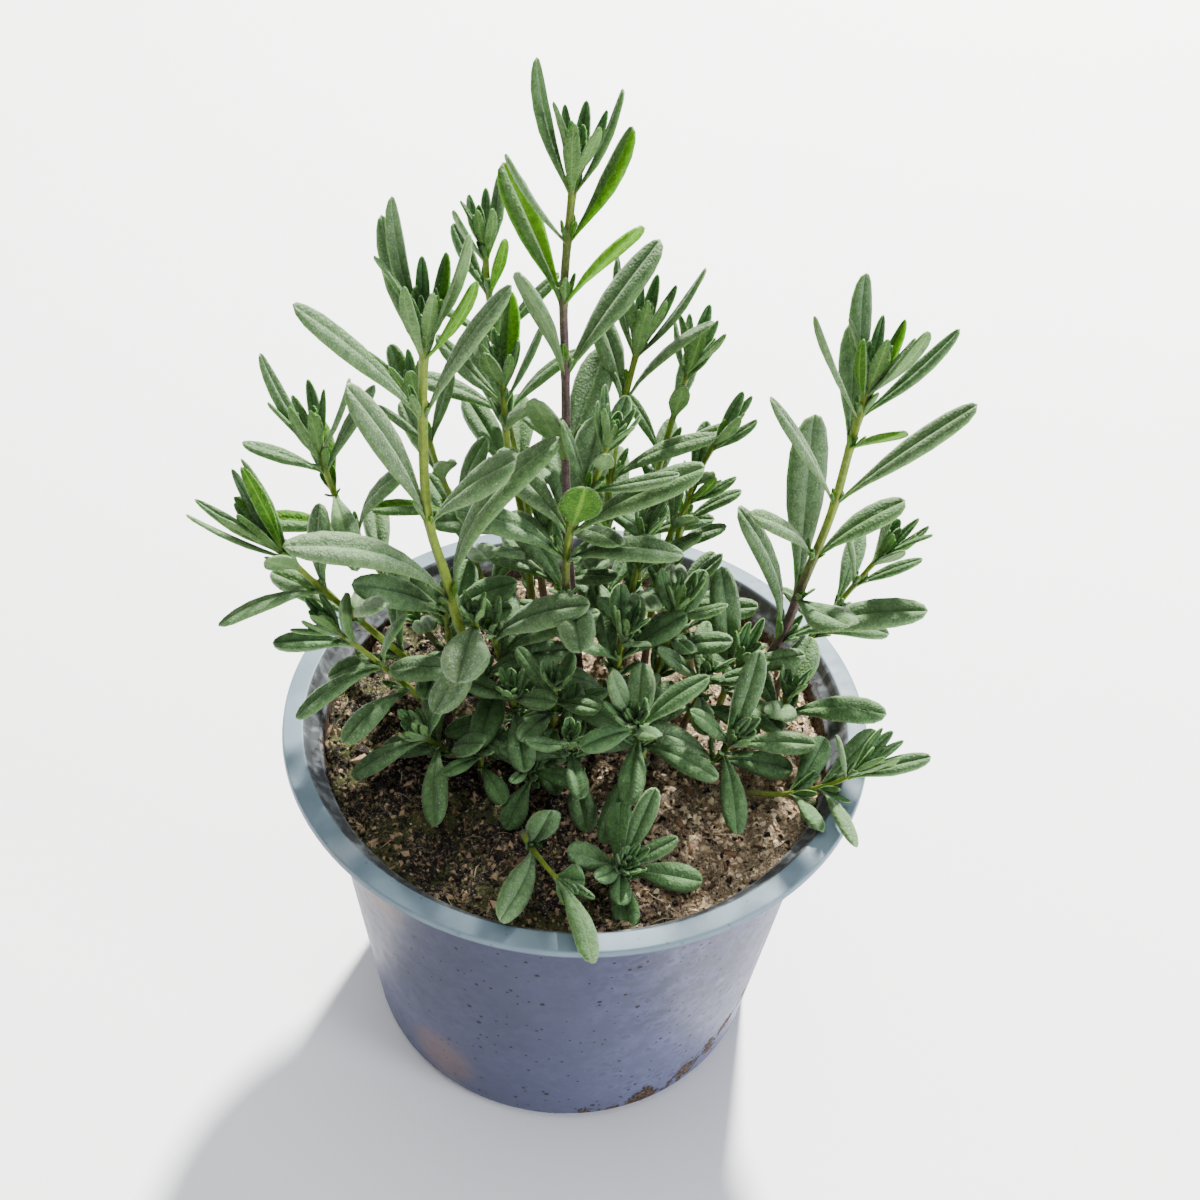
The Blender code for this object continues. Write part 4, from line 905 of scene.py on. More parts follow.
SHOOTS = [
    Shoot("tall_centre", (0, 12), [(-4, 12, 130), (-6, 12, 172), (-7, 12, 192), (-6, 12, 215)], [
        (0.14, 120, 70, 19, 66, 0, 5.4, 0.12),
        (0.36, 100, 62, 26, 60, 25, 7.0, 0.12),
        (0.52, 248, 28, 25, 50, 24, 7.6, 0.02),
        (0.68, 218, 20, 27, 46, 31, 8.0, 0.04),
        (0.80, 330, 36, 26, 28, 28, 7.4, 0.03),
        (0.90, 20, 24, 24, 34, 22, 5.4, -0.03),
        (0.975, 170, 19, 25, 17, 22, 5.4, -0.04),
    ], tuft=(16, 10), thick=1.0),
    Shoot("tall_left", (-21, 7),
          [(-26, -2, 118), (-28, -5, 133), (-31, -9, 153), (-31, -12, 178), (-30, -14, 196)], [
        (0.38, 200, 44, 41, 36, 46, 8.6, 0.15),
        (0.60, 172, 15, 37, 43, 28, 8.8, 0.06),
        (0.84, 190, 38, 34, 27, 33, 7.0, 0.05),
        (0.965, 320, 24, 25, 25, 26, 5.8, -0.03),
        (1.0, 150, 15, 27, 16, 27, 5.2, -0.04),
    ], tuft=(19, 12), thick=1.1),
    Shoot("tall_right", (38, 14),
          [(41, 11, 98), (44, 9, 110), (46, 7, 126), (49, 5, 148), (50, 4, 165), (51, 3, 180)], [
        (0.25, 350, 46, 34, 31, 40, 7.8, 0.10),
        (0.40, 112, 21, 42, 55, 22, 8.8, 0.02),
        (0.53, 20, 46, 22, 50, 24, 6.4, 0.10),
        (0.70, 180, 36, 30, 36, 35, 6.4, 0.03),
        (0.85, 110, 22, 25, 42, 22, 7.2, 0.02),
        (0.93, 10, 34, 25, 30, 27, 5.6, -0.02),
        (0.985, 132, 17, 24, 22, 22, 6.6, -0.03),
    ], tuft=(17, 11), thick=1.1),
    Shoot("far_left", (-29, 2), [(-32, 0, 98), (-40, -3, 111), (-53, -6, 129), (-61, -6, 139)], [
        (0.40, 60, 55, 22, 60, 20, 6.2, 0.12),
        (0.62, 150, 50, 22, 60, 24, 6.2, 0.12),
        (0.80, 225, 52, 24, 45, 18, 6.2, 0.10),
        (0.92, 300, 50, 18, 30, 19, 5.0, 0.03),
    ], tuft=(22, 14), thick=0.9),
    Shoot("left_back", (-30, 17), [(-40, 16, 106), (-48, 15, 123), (-53, 14, 137), (-56, 14, 149)], [
        (0.24, 130, 66, 17, 64, 17, 5.2, 0.12),
        (0.45, 90, 60, 21, 60, 20, 5.8, 0.12),
        (0.66, 0, 50, 23, 62, 23, 6.0, 0.12),
        (0.84, 275, 82, 26, 35, 17, 5.6, 0.14),
        (0.93, 190, 50, 18, 41, 23, 5.8, 0.05),
        (1.0, 168, 10, 25, 34, 22, 4.8, -0.03),
    ], tuft=(17, 11), thick=0.85),
    Shoot("back_tip", (-9, 36), [(-14, 36, 120), (-20, 37, 150), (-23, 38, 173), (-24, 38, 185)], [
        (0.16, 80, 70, 18, 66, 0, 5.2, 0.12),
        (0.28, 190, 66, 20, 64, 19, 5.6, 0.12),
        (0.42, 90, 60, 22, 60, 22, 6.4, 0.12),
        (0.60, 0, 52, 23, 55, 22, 6.4, 0.08),
        (0.78, 15, 48, 20, 45, 19, 5.8, 0.04),
        (0.89, 320, 22, 16, 30, 16, 5.0, 0.0),
        (0.97, 40, 14, 18, 24, 15, 4.8, -0.02),
    ], tuft=(12,), thick=0.85),
    Shoot("heart", (-1, 6), [(-4, 3, 128), (-3, 0, 146), (1, -2, 159), (3, -3, 168)], [
        (0.45, 100, 70, 25, 70, 25, 7.4, 0.14),
        (0.58, 185, 66, 25, 62, 25, 7.6, 0.14),
        (0.68, 0, 40, 34, 55, 25, 7.8, 0.06),
        (0.72, 265, 18, 19, 45, 22, 8.4, 0.0),
        (0.84, 345, 40, 20, 40, 17, 4.8, 0.02),
        (0.92, 80, 34, 15, 34, 14, 4.2, 0.0),
    ], tuft=(12, 8), thick=0.9),
    Shoot("right_centre", (5, 27), [(4, 26, 125), (5, 25, 150), (8, 25, 172)], [
        (0.18, 60, 70, 18, 66, 0, 5.2, 0.12),
        (0.38, 85, 60, 24, 60, 24, 6.8, 0.12),
        (0.60, 0, 55, 26, 52, 25, 7.0, 0.10),
        (0.84, 340, 28, 29, 42, 20, 7.2, 0.08),
        (0.975, 170, 21, 22, 20, 25, 5.2, -0.03),
    ], tuft=(17, 11), thick=0.9),
    Shoot("middle_back", (-11, 25), [(-14, 25, 122), (-18, 25, 145), (-19, 25, 161)], [
        (0.24, 110, 66, 19, 64, 0, 5.6, 0.12),
        (0.45, 20, 60, 24, 60, 24, 6.8, 0.12),
        (0.66, 120, 52, 24, 55, 23, 6.2, 0.08),
        (0.85, 300, 46, 24, 36, 21, 5.8, 0.06),
        (0.94, 172, 42, 20, 22, 23, 5.4, 0.0),
        (1.0, 70, 14, 20, 30, 14, 4.8, -0.02),
    ], tuft=(13,), thick=0.85),
    Shoot("right_back_tip", (12, 33), [(13, 31, 122), (16, 30, 147), (19, 30, 164)],
          whorls(6, 0.20, 0.97, 80, (70, 24), 22, 5.6), tuft=(15,), thick=0.8),
    Shoot("right_back_middle", (20, 27), [(20, 26, 118), (22, 25, 137), (26, 25, 150)],
          whorls(5, 0.20, 0.96, 0, (70, 26), 20, 5.4), tuft=(13,), thick=0.8),
    Shoot("right_back_low", (15, 20), [(16, 20, 114), (18, 20, 128), (22, 20, 139)],
          whorls(4, 0.45, 0.96, 90, (62, 28), 20, 5.4), tuft=(12,), thick=0.8),
    Shoot("back_left", (-20, 28), [(-27, 26, 118), (-33, 24, 140), (-37, 22, 158)],
          whorls(6, 0.18, 0.97, 30, (70, 22), 24, 6.2), tuft=(14,), thick=0.85),
    Shoot("short_right", (26, 19), [(24, 18, 98), (21, 17, 109), (20, 16, 115)], [
        (0.55, 350, 66, 20, 66, 18, 5.8, 0.12),
        (0.78, 250, 60, 18, 50, 18, 5.6, 0.10),
        (0.90, 172, 46, 17, 26, 20, 5.2, 0.03),
    ], tuft=(10,), thick=0.8),
    Shoot("right_inner", (32, 7), [(33, 6, 96), (35, 5, 104)], [
        (0.50, 125, 25, 31, 66, 20, 7.2, 0.08),
        (0.85, 30, 50, 18, 60, 17, 5.6, 0.08),
    ], tuft=(12, 8), thick=0.8),
    Shoot("right_low", (44, 1), [(45, 1, 92), (46, 1, 99)], [
        (0.55, 345, 62, 24, 60, 17, 7.2, 0.12),
        (0.85, 250, 62, 14, 50, 16, 7.8, 0.10),
    ], tuft=(9,), thick=0.8),
    Shoot("right_behind", (46, 16), [(51, 17, 100), (57, 17, 114), (63, 16, 128)],
          whorls(4, 0.40, 0.95, 0, (60, 26), 21, 5.2), tuft=(14,), thick=0.8),
    Shoot("right_front", (28, -11), [(30, -13, 92), (33, -15, 100)], [
        (0.48, 175, 76, 18, 70, 17, 6.2, 0.12),
        (0.75, 282, 84, 20, 32, 25, 5.8, 0.12),
        (0.97, 0, 62, 18, 56, 16, 5.6, 0.08),
    ], tuft=(10, 7), thick=0.8),
    Shoot("right_trail", (33, -18), [(37, -18, 88), (46, -19, 89.5), (55, -21, 96), (59, -21, 100)], [
        (0.48, 286, 56, 19, 60, 15, 6.2, 0.10),
        (0.71, 272, 60, 20, 40, 17, 5.0, 0.08),
        (0.93, 0, 22, 18, 60, 12, 5.0, 0.03),
    ], tuft=(12,), thick=0.7),
    Shoot("front_middle", (15, -12), [(14, -16, 98), (12, -22, 112)], [
        (0.34, 248, 92, 21, 74, 17, 5.8, 0.12),
        (0.54, 330, 78, 19, 66, 17, 5.6, 0.14),
        (0.72, 262, 80, 16, 50, 16, 5.8, 0.12),
        (0.86, 212, 62, 14, 66, 19, 5.4, 0.12),
        (0.97, 125, 14, 20, 36, 14, 4.8, 0.0),
    ], tuft=(10,), thick=0.8),
    Shoot("front_rosette", (9, -39), [(10, -41, 88), (11, -42.5, 91)], [
        (0.52, 285, 74, 13, 70, 14, 5.8, 0.08),
        (0.72, 352, 66, 17, 72, 13, 6.0, 0.08),
        (0.88, 88, 46, 19, 60, 10, 4.8, 0.04),
        (0.97, 35, 52, 13, 56, 10, 4.2, 0.04),
    ], tuft=(8, 5), thick=0.7),
    Shoot("front_trail", (-10, -31), [(-9, -36, 90), (-6, -43, 93), (-2, -49, 94)], [
        (0.42, 105, 50, 15, 64, 0, 6.6, 0.10),
        (0.53, 228, 37, 22, 66, 0, 6.8, 0.12),
        (0.97, 283, 14, 22, 40, 6, 6.2, 0.10),
    ], thick=0.75),
    Shoot("centre_front", (-12, -5), [(-13, -8, 97), (-14, -11, 107)], [
        (0.30, 300, 92, 18, 84, 16, 5.6, 0.14),
        (0.50, 20, 82, 18, 78, 16, 5.8, 0.14),
        (0.70, 280, 86, 17, 70, 14, 5.8, 0.12),
        (0.90, 350, 66, 13, 64, 12, 5.2, 0.10),
    ], tuft=(8, 5), thick=0.8),
    Shoot("left_dome", (-21, -1), [(-21, -5, 107), (-22, -9, 126)], [
        (0.30, 290, 84, 19, 80, 19, 6.6, 0.14),
        (0.50, 190, 74, 20, 70, 20, 6.8, 0.14),
        (0.70, 242, 88, 17, 60, 16, 7.8, 0.14),
        (0.95, 262, 80, 16, 48, 0, 10.5, 0.16),
    ], tuft=(9,), thick=0.9),
    Shoot("left_dark", (-28, 10), [(-29, 6, 106), (-29, 1, 119)], [
        (0.50, 80, 66, 20, 66, 20, 6.8, 0.14),
        (0.74, 150, 64, 22, 60, 20, 7.2, 0.12),
        (0.95, 185, 50, 24, 58, 18, 7.8, 0.12),
    ], tuft=(10,), thick=0.85),
    Shoot("middle_dark", (-14, 3), [(-17, -1, 107), (-19, -5, 119)], [
        (0.46, 90, 72, 21, 72, 20, 7.0, 0.14),
        (0.70, 10, 74, 25, 68, 18, 7.2, 0.14),
        (0.92, 0, 56, 27, 62, 16, 8.0, 0.12),
    ], tuft=(10,), thick=0.85),
    Shoot("left_low", (-28, -5), [(-34, -6, 99), (-44, -8, 113), (-50, -9, 120)], [
        (0.45, 232, 66, 20, 62, 18, 6.0, 0.12),
        (0.68, 212, 68, 21, 56, 18, 5.8, 0.12),
        (0.90, 180, 52, 17, 46, 16, 5.4, 0.08),
    ], tuft=(11,), thick=0.8),
    Shoot("left_front", (-22, -11), [(-27, -14, 91), (-32, -16, 98)], [
        (0.48, 350, 74, 16, 70, 16, 6.0, 0.12),
        (0.72, 268, 86, 20, 56, 16, 6.2, 0.10),
        (0.95, 200, 76, 18, 56, 15, 5.6, 0.10),
    ], tuft=(9, 6), thick=0.8),
    Shoot("fill_centre", (5, 2), [(7, -1, 100), (9, -3, 118)],
          whorls(4, 0.38, 0.95, 20, (80, 40), 23, 7.2), tuft=(10,), thick=0.85),
    Shoot("fill_right", (14, 6), [(17, 4, 102), (20, 3, 121)],
          whorls(4, 0.38, 0.95, 60, (76, 38), 21, 6.6), tuft=(10,), thick=0.8),
    Shoot("fill_front", (0, -14), [(-1, -18, 95), (-1, -22, 105)],
          whorls(4, 0.34, 0.93, 282, (94, 58), 18, 5.8), tuft=(8,), thick=0.8),
    Shoot("fill_low_left", (-20, -15), [(-20, -17, 91), (-20, -18, 98)],
          whorls(3, 0.45, 0.92, 300, (88, 50), 13, 4.6), tuft=(7,), thick=0.7),
    Shoot("fill_low_middle", (-9, -17), [(-9, -20, 92), (-10, -22, 98)],
          whorls(3, 0.42, 0.92, 250, (92, 56), 15, 5.4), tuft=(7,), thick=0.7),
    Shoot("fill_middle", (-5, -6), [(-5, -9, 98), (-5, -13, 112)],
          whorls(4, 0.36, 0.94, 330, (88, 48), 17, 5.4), tuft=(9,), thick=0.8),
    Shoot("fill_far_right", (24, 2), [(26, -1, 98), (28, -3, 110)],
          whorls(4, 0.40, 0.95, 0, (76, 40), 19, 6.0), tuft=(10,), thick=0.8),
    Shoot("fill_back", (-3, 19), [(-6, 18, 112), (-9, 17, 130)],
          whorls(4, 0.42, 0.95, 45, (70, 36), 23, 6.8), tuft=(11,), thick=0.8),
    Shoot("fill_back_right", (8, 16), [(10, 14, 112), (12, 13, 132)],
          whorls(4, 0.42, 0.95, 0, (70, 36), 23, 6.8), tuft=(11,), thick=0.8),
]


# A leaf that would touch another shoot is turned, lifted or shortened by the first of these
# that clears it: (turn, spread, share of its length)
LEAF_MOVES = [
    (0, 0, 1.0), (0, 8, 1.0), (0, -8, 1.0), (12, 0, 1.0), (-12, 0, 1.0),
    (14, 10, 1.0), (-14, 10, 1.0), (14, -10, 1.0), (-14, -10, 1.0), (0, 18, 0.95),
    (0, -16, 0.95), (26, 0, 0.9), (-26, 0, 0.9), (24, 14, 0.85), (-24, 14, 0.85),
    (0, 0, 0.8), (38, 0, 0.8), (-38, 0, 0.8), (0, 26, 0.75), (0, -26, 0.75),
    (20, -18, 0.7), (-20, -18, 0.7), (50, 8, 0.7), (-50, 8, 0.7), (0, 0, 0.6),
    (30, 0, 0.55), (-30, 0, 0.55), (0, -20, 0.5), (0, 20, 0.5),
]


class StemCurve:
    """The smooth curve that a stem follows: upright in its hole, then through its points."""

    def __init__(self, shoot):
        x, y = shoot.foot
        bury = SOIL_TOP - HOLE_DEPTH + GAP
        knots = [Vector((x, y, bury)), Vector((x, y, SOIL_TOP + 1.6))]
        knots += [Vector(point) for point in shoot.points]
        self.line = [knots[0]]
        for index in range(1, len(knots) - 1):
            before = knots[index - 1]
            after = knots[min(index + 2, len(knots) - 1)]
            leave = (knots[index + 1] - before) * 0.5
            if index == 1:
                leave = Vector((0, 0, (knots[2] - knots[1]).length * 0.7))
            arrive = (after - knots[index]) * 0.5
            self.add_span(knots[index], knots[index + 1], leave, arrive)
        self.foot_radius = STEM_FOOT_RADIUS * shoot.thick
        self.tip_radius = STEM_TIP_RADIUS * shoot.thick
        self.lengths = [0.0]
        for start, end in zip(self.line, self.line[1:]):
            self.lengths.append(self.lengths[-1] + (end - start).length)
        self.above = self.lengths[1]
        self.total = self.lengths[-1]
        self.span = self.total - self.above
        self.stretches = self.find_stretches([pair[0] for pair in shoot.pairs])

    def add_span(self, start, end, leave, arrive):
        first = 0 if len(self.line) == 1 else 1
        for step in range(first, CURVE_STEPS + 1):
            t = step / CURVE_STEPS
            point = start * (2 * t ** 3 - 3 * t ** 2 + 1) + leave * (t ** 3 - 2 * t ** 2 + t)
            point += end * (3 * t ** 2 - 2 * t ** 3) + arrive * (t ** 3 - t ** 2)
            self.line.append(point)

    def find_stretches(self, nodes):
        """Shares 0..1 of the stem between its straight stretches: at its leaves, and at long gaps."""
        shares = [0.0]
        for share in nodes + [1.0]:
            gap = (share - shares[-1]) * self.span
            if gap > LONGEST_STRETCH:
                shares.append((share + shares[-1]) / 2)
            if gap > SHORTEST_STRETCH and (share == 1.0 or (1 - share) * self.span > SHORTEST_STRETCH):
                shares.append(share)
        if shares[-1] != 1.0:
            shares.append(1.0)
        return shares

    def at(self, distance):
        """Point and direction at a distance from the buried end."""
        distance = min(max(distance, 0.0), self.total)
        index = 1
        while index < len(self.lengths) - 1 and self.lengths[index] < distance:
            index += 1
        start = self.line[index - 1]
        end = self.line[index]
        share = (distance - self.lengths[index - 1]) / (self.lengths[index] - self.lengths[index - 1])
        return start.lerp(end, share), (end - start).normalized()

    def node(self, along):
        """Point, direction and radius at a share 0..1 of the stem above the soil."""
        point, direction = self.at(self.above + self.span * along)
        return point, direction, self.radius(along)

    def radius(self, share):
        """The stem's thickness, from its foot at 0 to its tip at 1."""
        return self.foot_radius + (self.tip_radius - self.foot_radius) * share


def stem_solid(curve):
    """A stem as a tapered tube with few sides, closed at both ends."""
    stations = [(0.0, 0.0)] + [(curve.above + curve.span * share, share) for share in curve.stretches]
    points = []
    across = Vector((1, 0, 0))
    for distance, share in stations:
        point, direction = curve.at(distance + 0.01)
        across = (across - direction * across.dot(direction)).normalized()
        other = direction.cross(across)
        radius = curve.radius(share)
        for side in range(STEM_SIDES):
            angle = 2 * math.pi * side / STEM_SIDES
            points.append(point + across * radius * math.cos(angle) + other * radius * math.sin(angle))
    foot = list(range(STEM_SIDES))[::-1]
    tip = list(range(len(points) - STEM_SIDES, len(points)))
    return points, [foot] + ring_faces(len(stations), STEM_SIDES) + [tip]


class Leaf:
    """One leaf: where it springs from, how it leans, and its size."""

    def __init__(self, place, azimuth, spread, length, width, arch, roll):
        self.base, self.stem, self.root = place
        self.azimuth = azimuth
        self.spread = spread
        self.length = length
        self.width = width
        self.arch = arch
        self.roll = roll

    def moved(self, turn, open_by, scale):
        place = (self.base, self.stem, self.root)
        width = self.width * (0.5 + 0.5 * scale)
        return Leaf(place, self.azimuth + turn, max(6, self.spread + open_by), self.length * scale,
                    width, self.arch, self.roll)

    def outward(self):
        """The direction in which the leaf leaves the stem, square to the stem."""
        turn = math.radians(self.azimuth)
        out = Vector((math.cos(turn), math.sin(turn), 0))
        return (out - self.stem * out.dot(self.stem)).normalized()

    def axes(self):
        """The directions in which the blade runs and in which its upper face looks.

        The upper face looks to the stem, and on a leaning stem the leaf turns it towards the sky.
        """
        lean = math.radians(self.spread)
        out = self.outward()
        chord = self.stem * math.cos(lean) + out * math.sin(lean)
        face = self.stem * math.sin(lean) - out * math.cos(lean)
        sky = Vector((0, 0, 1)) - chord * chord.z
        return chord, (face + sky * TURN_TO_SKY).normalized()

    def frame(self, t):
        """Middle of the blade, its side direction and its upper face at a share t of the length."""
        chord, face = self.axes()
        middle = self.base + chord * self.length * t + face * (self.arch * self.length * 4 * t * (1 - t))
        upper = (face - chord * (self.arch * 4 * (1 - 2 * t))).normalized()
        side = chord.cross(face)
        twist = math.radians(self.roll) * t
        across = side * math.cos(twist) + upper * math.sin(twist)
        return middle, across, upper * math.cos(twist) - side * math.sin(twist)

    def half_width(self, t):
        """Narrow at the stem, widest past the middle, with a blunt round tip."""
        if t <= WIDEST_AT:
            s = t / WIDEST_AT
            return self.width / 2 * (LEAF_NECK + (1 - LEAF_NECK) * s * s * (3 - 2 * s))
        s = (t - WIDEST_AT) / (1 - WIDEST_AT)
        return self.width / 2 * math.sqrt(max(0.0, 1 - s * s))


def leaf_solid(leaf, swell=0.0, start=0.0):
    """A blade with a keel below, of one to three flat-topped stretches and a tip."""
    stations = [start, 0.55, 0.9]
    if leaf.length > LARGE_LEAF:
        stations = [start, 0.34, 0.66, 0.93]
    elif leaf.length < SMALL_LEAF:
        stations = [start, 0.7]
    points = []
    for t in stations:
        middle, side, upper = leaf.frame(t)
        half = leaf.half_width(t) + swell
        thick = LEAF_THICKNESS + swell
        if t == 0.0:
            half = min(half, leaf.root * 0.6)
            thick = leaf.root * 0.6
            middle += leaf.outward() * leaf.root * LEAF_SEAT
        points.append(middle - side * half + upper * swell)
        points.append(middle - upper * thick)
        points.append(middle + side * half + upper * swell)
    tip = leaf.frame(1.0)[0]
    points.append(tip + (tip - points[-2]).normalized() * swell)
    faces = [[2, 1, 0]]
    for ring in range(0, 3 * len(stations) - 3, 3):
        for side in range(3):
            low = ring + side
            after = ring + (side + 1) % 3
            faces.append([low, after, after + 3])
            faces.append([low, after + 3, low + 3])
    last = len(points) - 4
    for side in range(3):
        faces.append([last + side, last + (side + 1) % 3, len(points) - 1])
    return points, faces


def wanted_leaves(shoot, curve, draw):
    """The shoot's leaves as they would grow with nothing in their way."""
    leaves = []
    for place, azimuth, spread, length, spread_opposite, length_opposite, width, arch in shoot.pairs:
        at = curve.node(place)
        twist = draw.uniform(-LEAF_TWIST, LEAF_TWIST)
        leaves.append(Leaf(at, azimuth, spread, length, width, arch, twist))
        if length_opposite:
            twist = draw.uniform(-LEAF_TWIST, LEAF_TWIST)
            leaves.append(Leaf(at, azimuth + 180, spread_opposite, length_opposite, width, arch, twist))
    turn = shoot.pairs[-1][1] + 90
    for index, length in enumerate(shoot.tuft):
        at = curve.node(1.0 - 0.012 * (len(shoot.tuft) - index))
        spread = 17 - 6 * index
        for half_turn in (0, 180):
            leaves.append(Leaf(at, turn + half_turn, spread + draw.uniform(-3, 3), length,
                               2.6 + length * 0.08, -0.03, draw.uniform(-8, 8)))
        turn += 90
    return leaves


def tree_of(solids):
    """Several solids, each given as points and faces, in one tree that others are tested against."""
    points = []
    faces = []
    for solid_points, solid_faces in solids:
        shift = len(points)
        points += solid_points
        faces += [[corner + shift for corner in face] for face in solid_faces]
    return BVHTree.FromPolygons(points, faces)


def touches(tree, leaf, clearance, start=0.0):
    """Whether the leaf, from a share of its length on, comes this near to what is in the tree."""
    return bool(tree.overlap(tree_of([leaf_solid(leaf, clearance, start)])))


def solids_of_others(solids, name):
    """The solids of every shoot but the one with this name."""
    return [solid for other, own in solids.items() if other != name for solid in own]


def grow_shoots():
    """Every shoot's curve and its leaves, each leaf moved clear of the other shoots."""
    curves = {shoot.name: StemCurve(shoot) for shoot in SHOOTS}
    grown = {name: [stem_solid(curve)] for name, curve in curves.items()}
    coarse_soil = plug(COARSE_SOIL_EDGE, COARSE_SOIL_RINGS, COARSE_SOIL_SIDES, soil_height)
    fixed = [turned(pot_outline(), COARSE_POT_SIDES), coarse_soil]
    placed = {}
    draw = random.Random(LAYOUT_SEED)
    for shoot in SHOOTS:
        around = tree_of(fixed + solids_of_others(grown, shoot.name))
        own = []
        placed[shoot.name] = []
        for wanted in wanted_leaves(shoot, curves[shoot.name], draw):
            leaf = clear_leaf(wanted, around, own)
            if leaf is None:
                continue
            placed[shoot.name].append(leaf)
            own.append(leaf_solid(leaf, start=FREE_FOOT))
            grown[shoot.name].append(leaf_solid(leaf))
    return curves, placed


def clear_leaf(wanted, around, own):
    """The leaf in its first free position: clear of other shoots, and if it can of its own."""
    own_tree = tree_of(own) if own else None
    fallback = None
    for move in LEAF_MOVES:
        leaf = wanted.moved(*move)
        if touches(around, leaf, LEAF_CLEARANCE):
            continue
        if own_tree is None or not touches(own_tree, leaf, OWN_CLEARANCE, FREE_FOOT):
            return leaf
        if fallback is None:
            fallback = leaf
    return fallback


# Half of a blade's cross-section, from the groove over the upper face, round the rolled edge and back
# to the midrib below: (share of the half width, rise as a share of it, height in mm, 1 below and 0 above)
BLADE_SECTION = [
    (0.0, -0.17, -0.14, 0), (0.12, -0.03, -0.03, 0), (0.48, 0.13, 0.04, 0), (0.84, 0.0, -0.02, 0),
    (1.0, -0.30, -0.18, 1), (0.62, -0.06, -0.28, 1), (0.0, -0.14, -0.62, 1),
]
BLADE_STATIONS = (0.0, 0.09, 0.22, 0.37, 0.52, 0.67, 0.81, 0.915, 0.975)
BUD_SECTION = [(0.0, -0.18, 0.0, 0), (0.6, 0.08, 0.08, 0), (1.0, -0.08, -0.2, 0), (0.0, -0.12, -0.55, 1)]
BUD_STATIONS = (0.0, 0.28, 0.58, 0.82, 0.95)
BLADE_TIP = (0.0, 0.0, -0.25, 0)

# The ripple of a leaf's surface: how high it is, and how fine
WAVINESS = 0.6
WAVES_PER_METRE = 230.0

# One quarter of a stem's cross-section: (angle, share of the radius). Rings of points stand a step apart
# along the stem, with more round each leaf pair, where it swells by a share of its radius. The shown
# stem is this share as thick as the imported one.
STEM_CORNER = ((0, 1.0), (17, 0.93), (45, 0.76), (73, 0.93))
RING_STEP = 1.5
LEAST_RING_STEP = 0.45
NODE_RINGS = (-0.8, 0, 0.8)
NODE_SWELLING = 0.13
NODE_LENGTH = 1.2
STEM_SLIMMED = 0.86

# The hairs, and how thickly they stand on a leaf's edge, which starts at this share of its half width,
# on a stem and everywhere else
HAIR_WIDTH = 0.055
HAIR_LENGTH = 0.45
HAIRS_PER_SQUARE_METRE = 4.7e6
HAIRY_EDGE = 0.93
HAIRS_ON_EDGE = 0.8
HAIRS_ON_STEM = 0.3
HAIRS_ELSEWHERE = 0.05

# Leaves that are slender as shown: those of a shoot's tuft, and on these shoots all from this place in
# the list of leaves on
TUFT_SLIMMED = 0.82
SLIM_FROM = {"tall_left": 5, "back_tip": 7, "tall_right": 8}

# The young leaves in each fork: how long they may be, and (turn to each side, share of the length) of
# the first pair and of the second, which the smallest ones don't have. Below the longest bud a young
# leaf has the bud's plainer blade.
SPROUT_LENGTHS = (3.2, 4.0, 5.0, 6.5, 8.0)
SPROUT_PAIRS = ((52, 1.0), (20, 0.66))
SECOND_PAIR_FROM = 3.6
LONGEST_BUD = 6.5
TIP_LEAVES = 10
DETAIL_SEED = 7

# The share of each tall stem, from its foot, that has turned brown and woody
WOODY = {"tall_centre": 0.88, "tall_right": 0.52, "tall_left": 0.18, "heart": 0.5, "right_centre": 0.3}
WOODY_ELSEWHERE = 0.2

# Leaves that stand against the light and show it through: shoot, place in its list of leaves and how much
AGAINST_LIGHT = {
    "tall_centre": {7: 0.9, 8: 0.84, 9: 0.78}, "tall_left": {6: 0.66}, "back_tip": {9: 0.8},
    "heart": {6: 0.57}, "middle_back": {9: 0.9}, "tall_right": {9: 0.7, 15: 0.9},
}

# How much light the other leaves and the buds show through, one of these for each, and the most near
# the soil
SHOWN_THROUGH = (0.0, 0.0, 0.0, 0.0, 0.0, 0.0, 0.15, 0.15, 0.15, 0.25, 0.25, 0.57)
BUDS_SHOW_THROUGH = (0.1, 0.3, 0.6)
SHADED_BELOW = 34.0
SHOWN_IN_SHADE = 0.12

# Leaves painted as pale as an old leaf's felt, as painted light where sunlight falls on them: shoot, place
# in its list of leaves and how pale
PAINTED_SUNLIT_LEAVES = {"left_dome": {4: 0.9, 5: 1.0}}

# Colours of the leaves and stems, where two are given from cloud to cloud
FRESH_GREEN = ((0.031, 0.090, 0.020), (0.067, 0.164, 0.042))
GREY_GREEN = ((0.069, 0.128, 0.045), (0.141, 0.221, 0.098))
LOWER_GREEN = ((0.052, 0.134, 0.022), (0.110, 0.222, 0.047))
FELT = (0.42, 0.50, 0.37)
GROOVE = (0.022, 0.062, 0.012)
LOWER_VEIN = (0.17, 0.28, 0.08)
DIM_LIGHT = ((0.022, 0.082, 0.003), (0.056, 0.155, 0.007))
FULL_LIGHT = ((0.070, 0.215, 0.004), (0.145, 0.370, 0.010))
LIT_VEIN = (0.22, 0.44, 0.040)
LEAF_FOOT = (0.13, 0.21, 0.035)
LEAF_EDGE = (0.22, 0.31, 0.16)
LEAF_DUST = (0.52, 0.58, 0.46)
GREEN_STEM = ((0.095, 0.150, 0.006), (0.185, 0.250, 0.014))
WOODY_STEM = ((0.040, 0.017, 0.020), (0.100, 0.048, 0.044))
HAIR_COLOUR = (0.36, 0.44, 0.31)


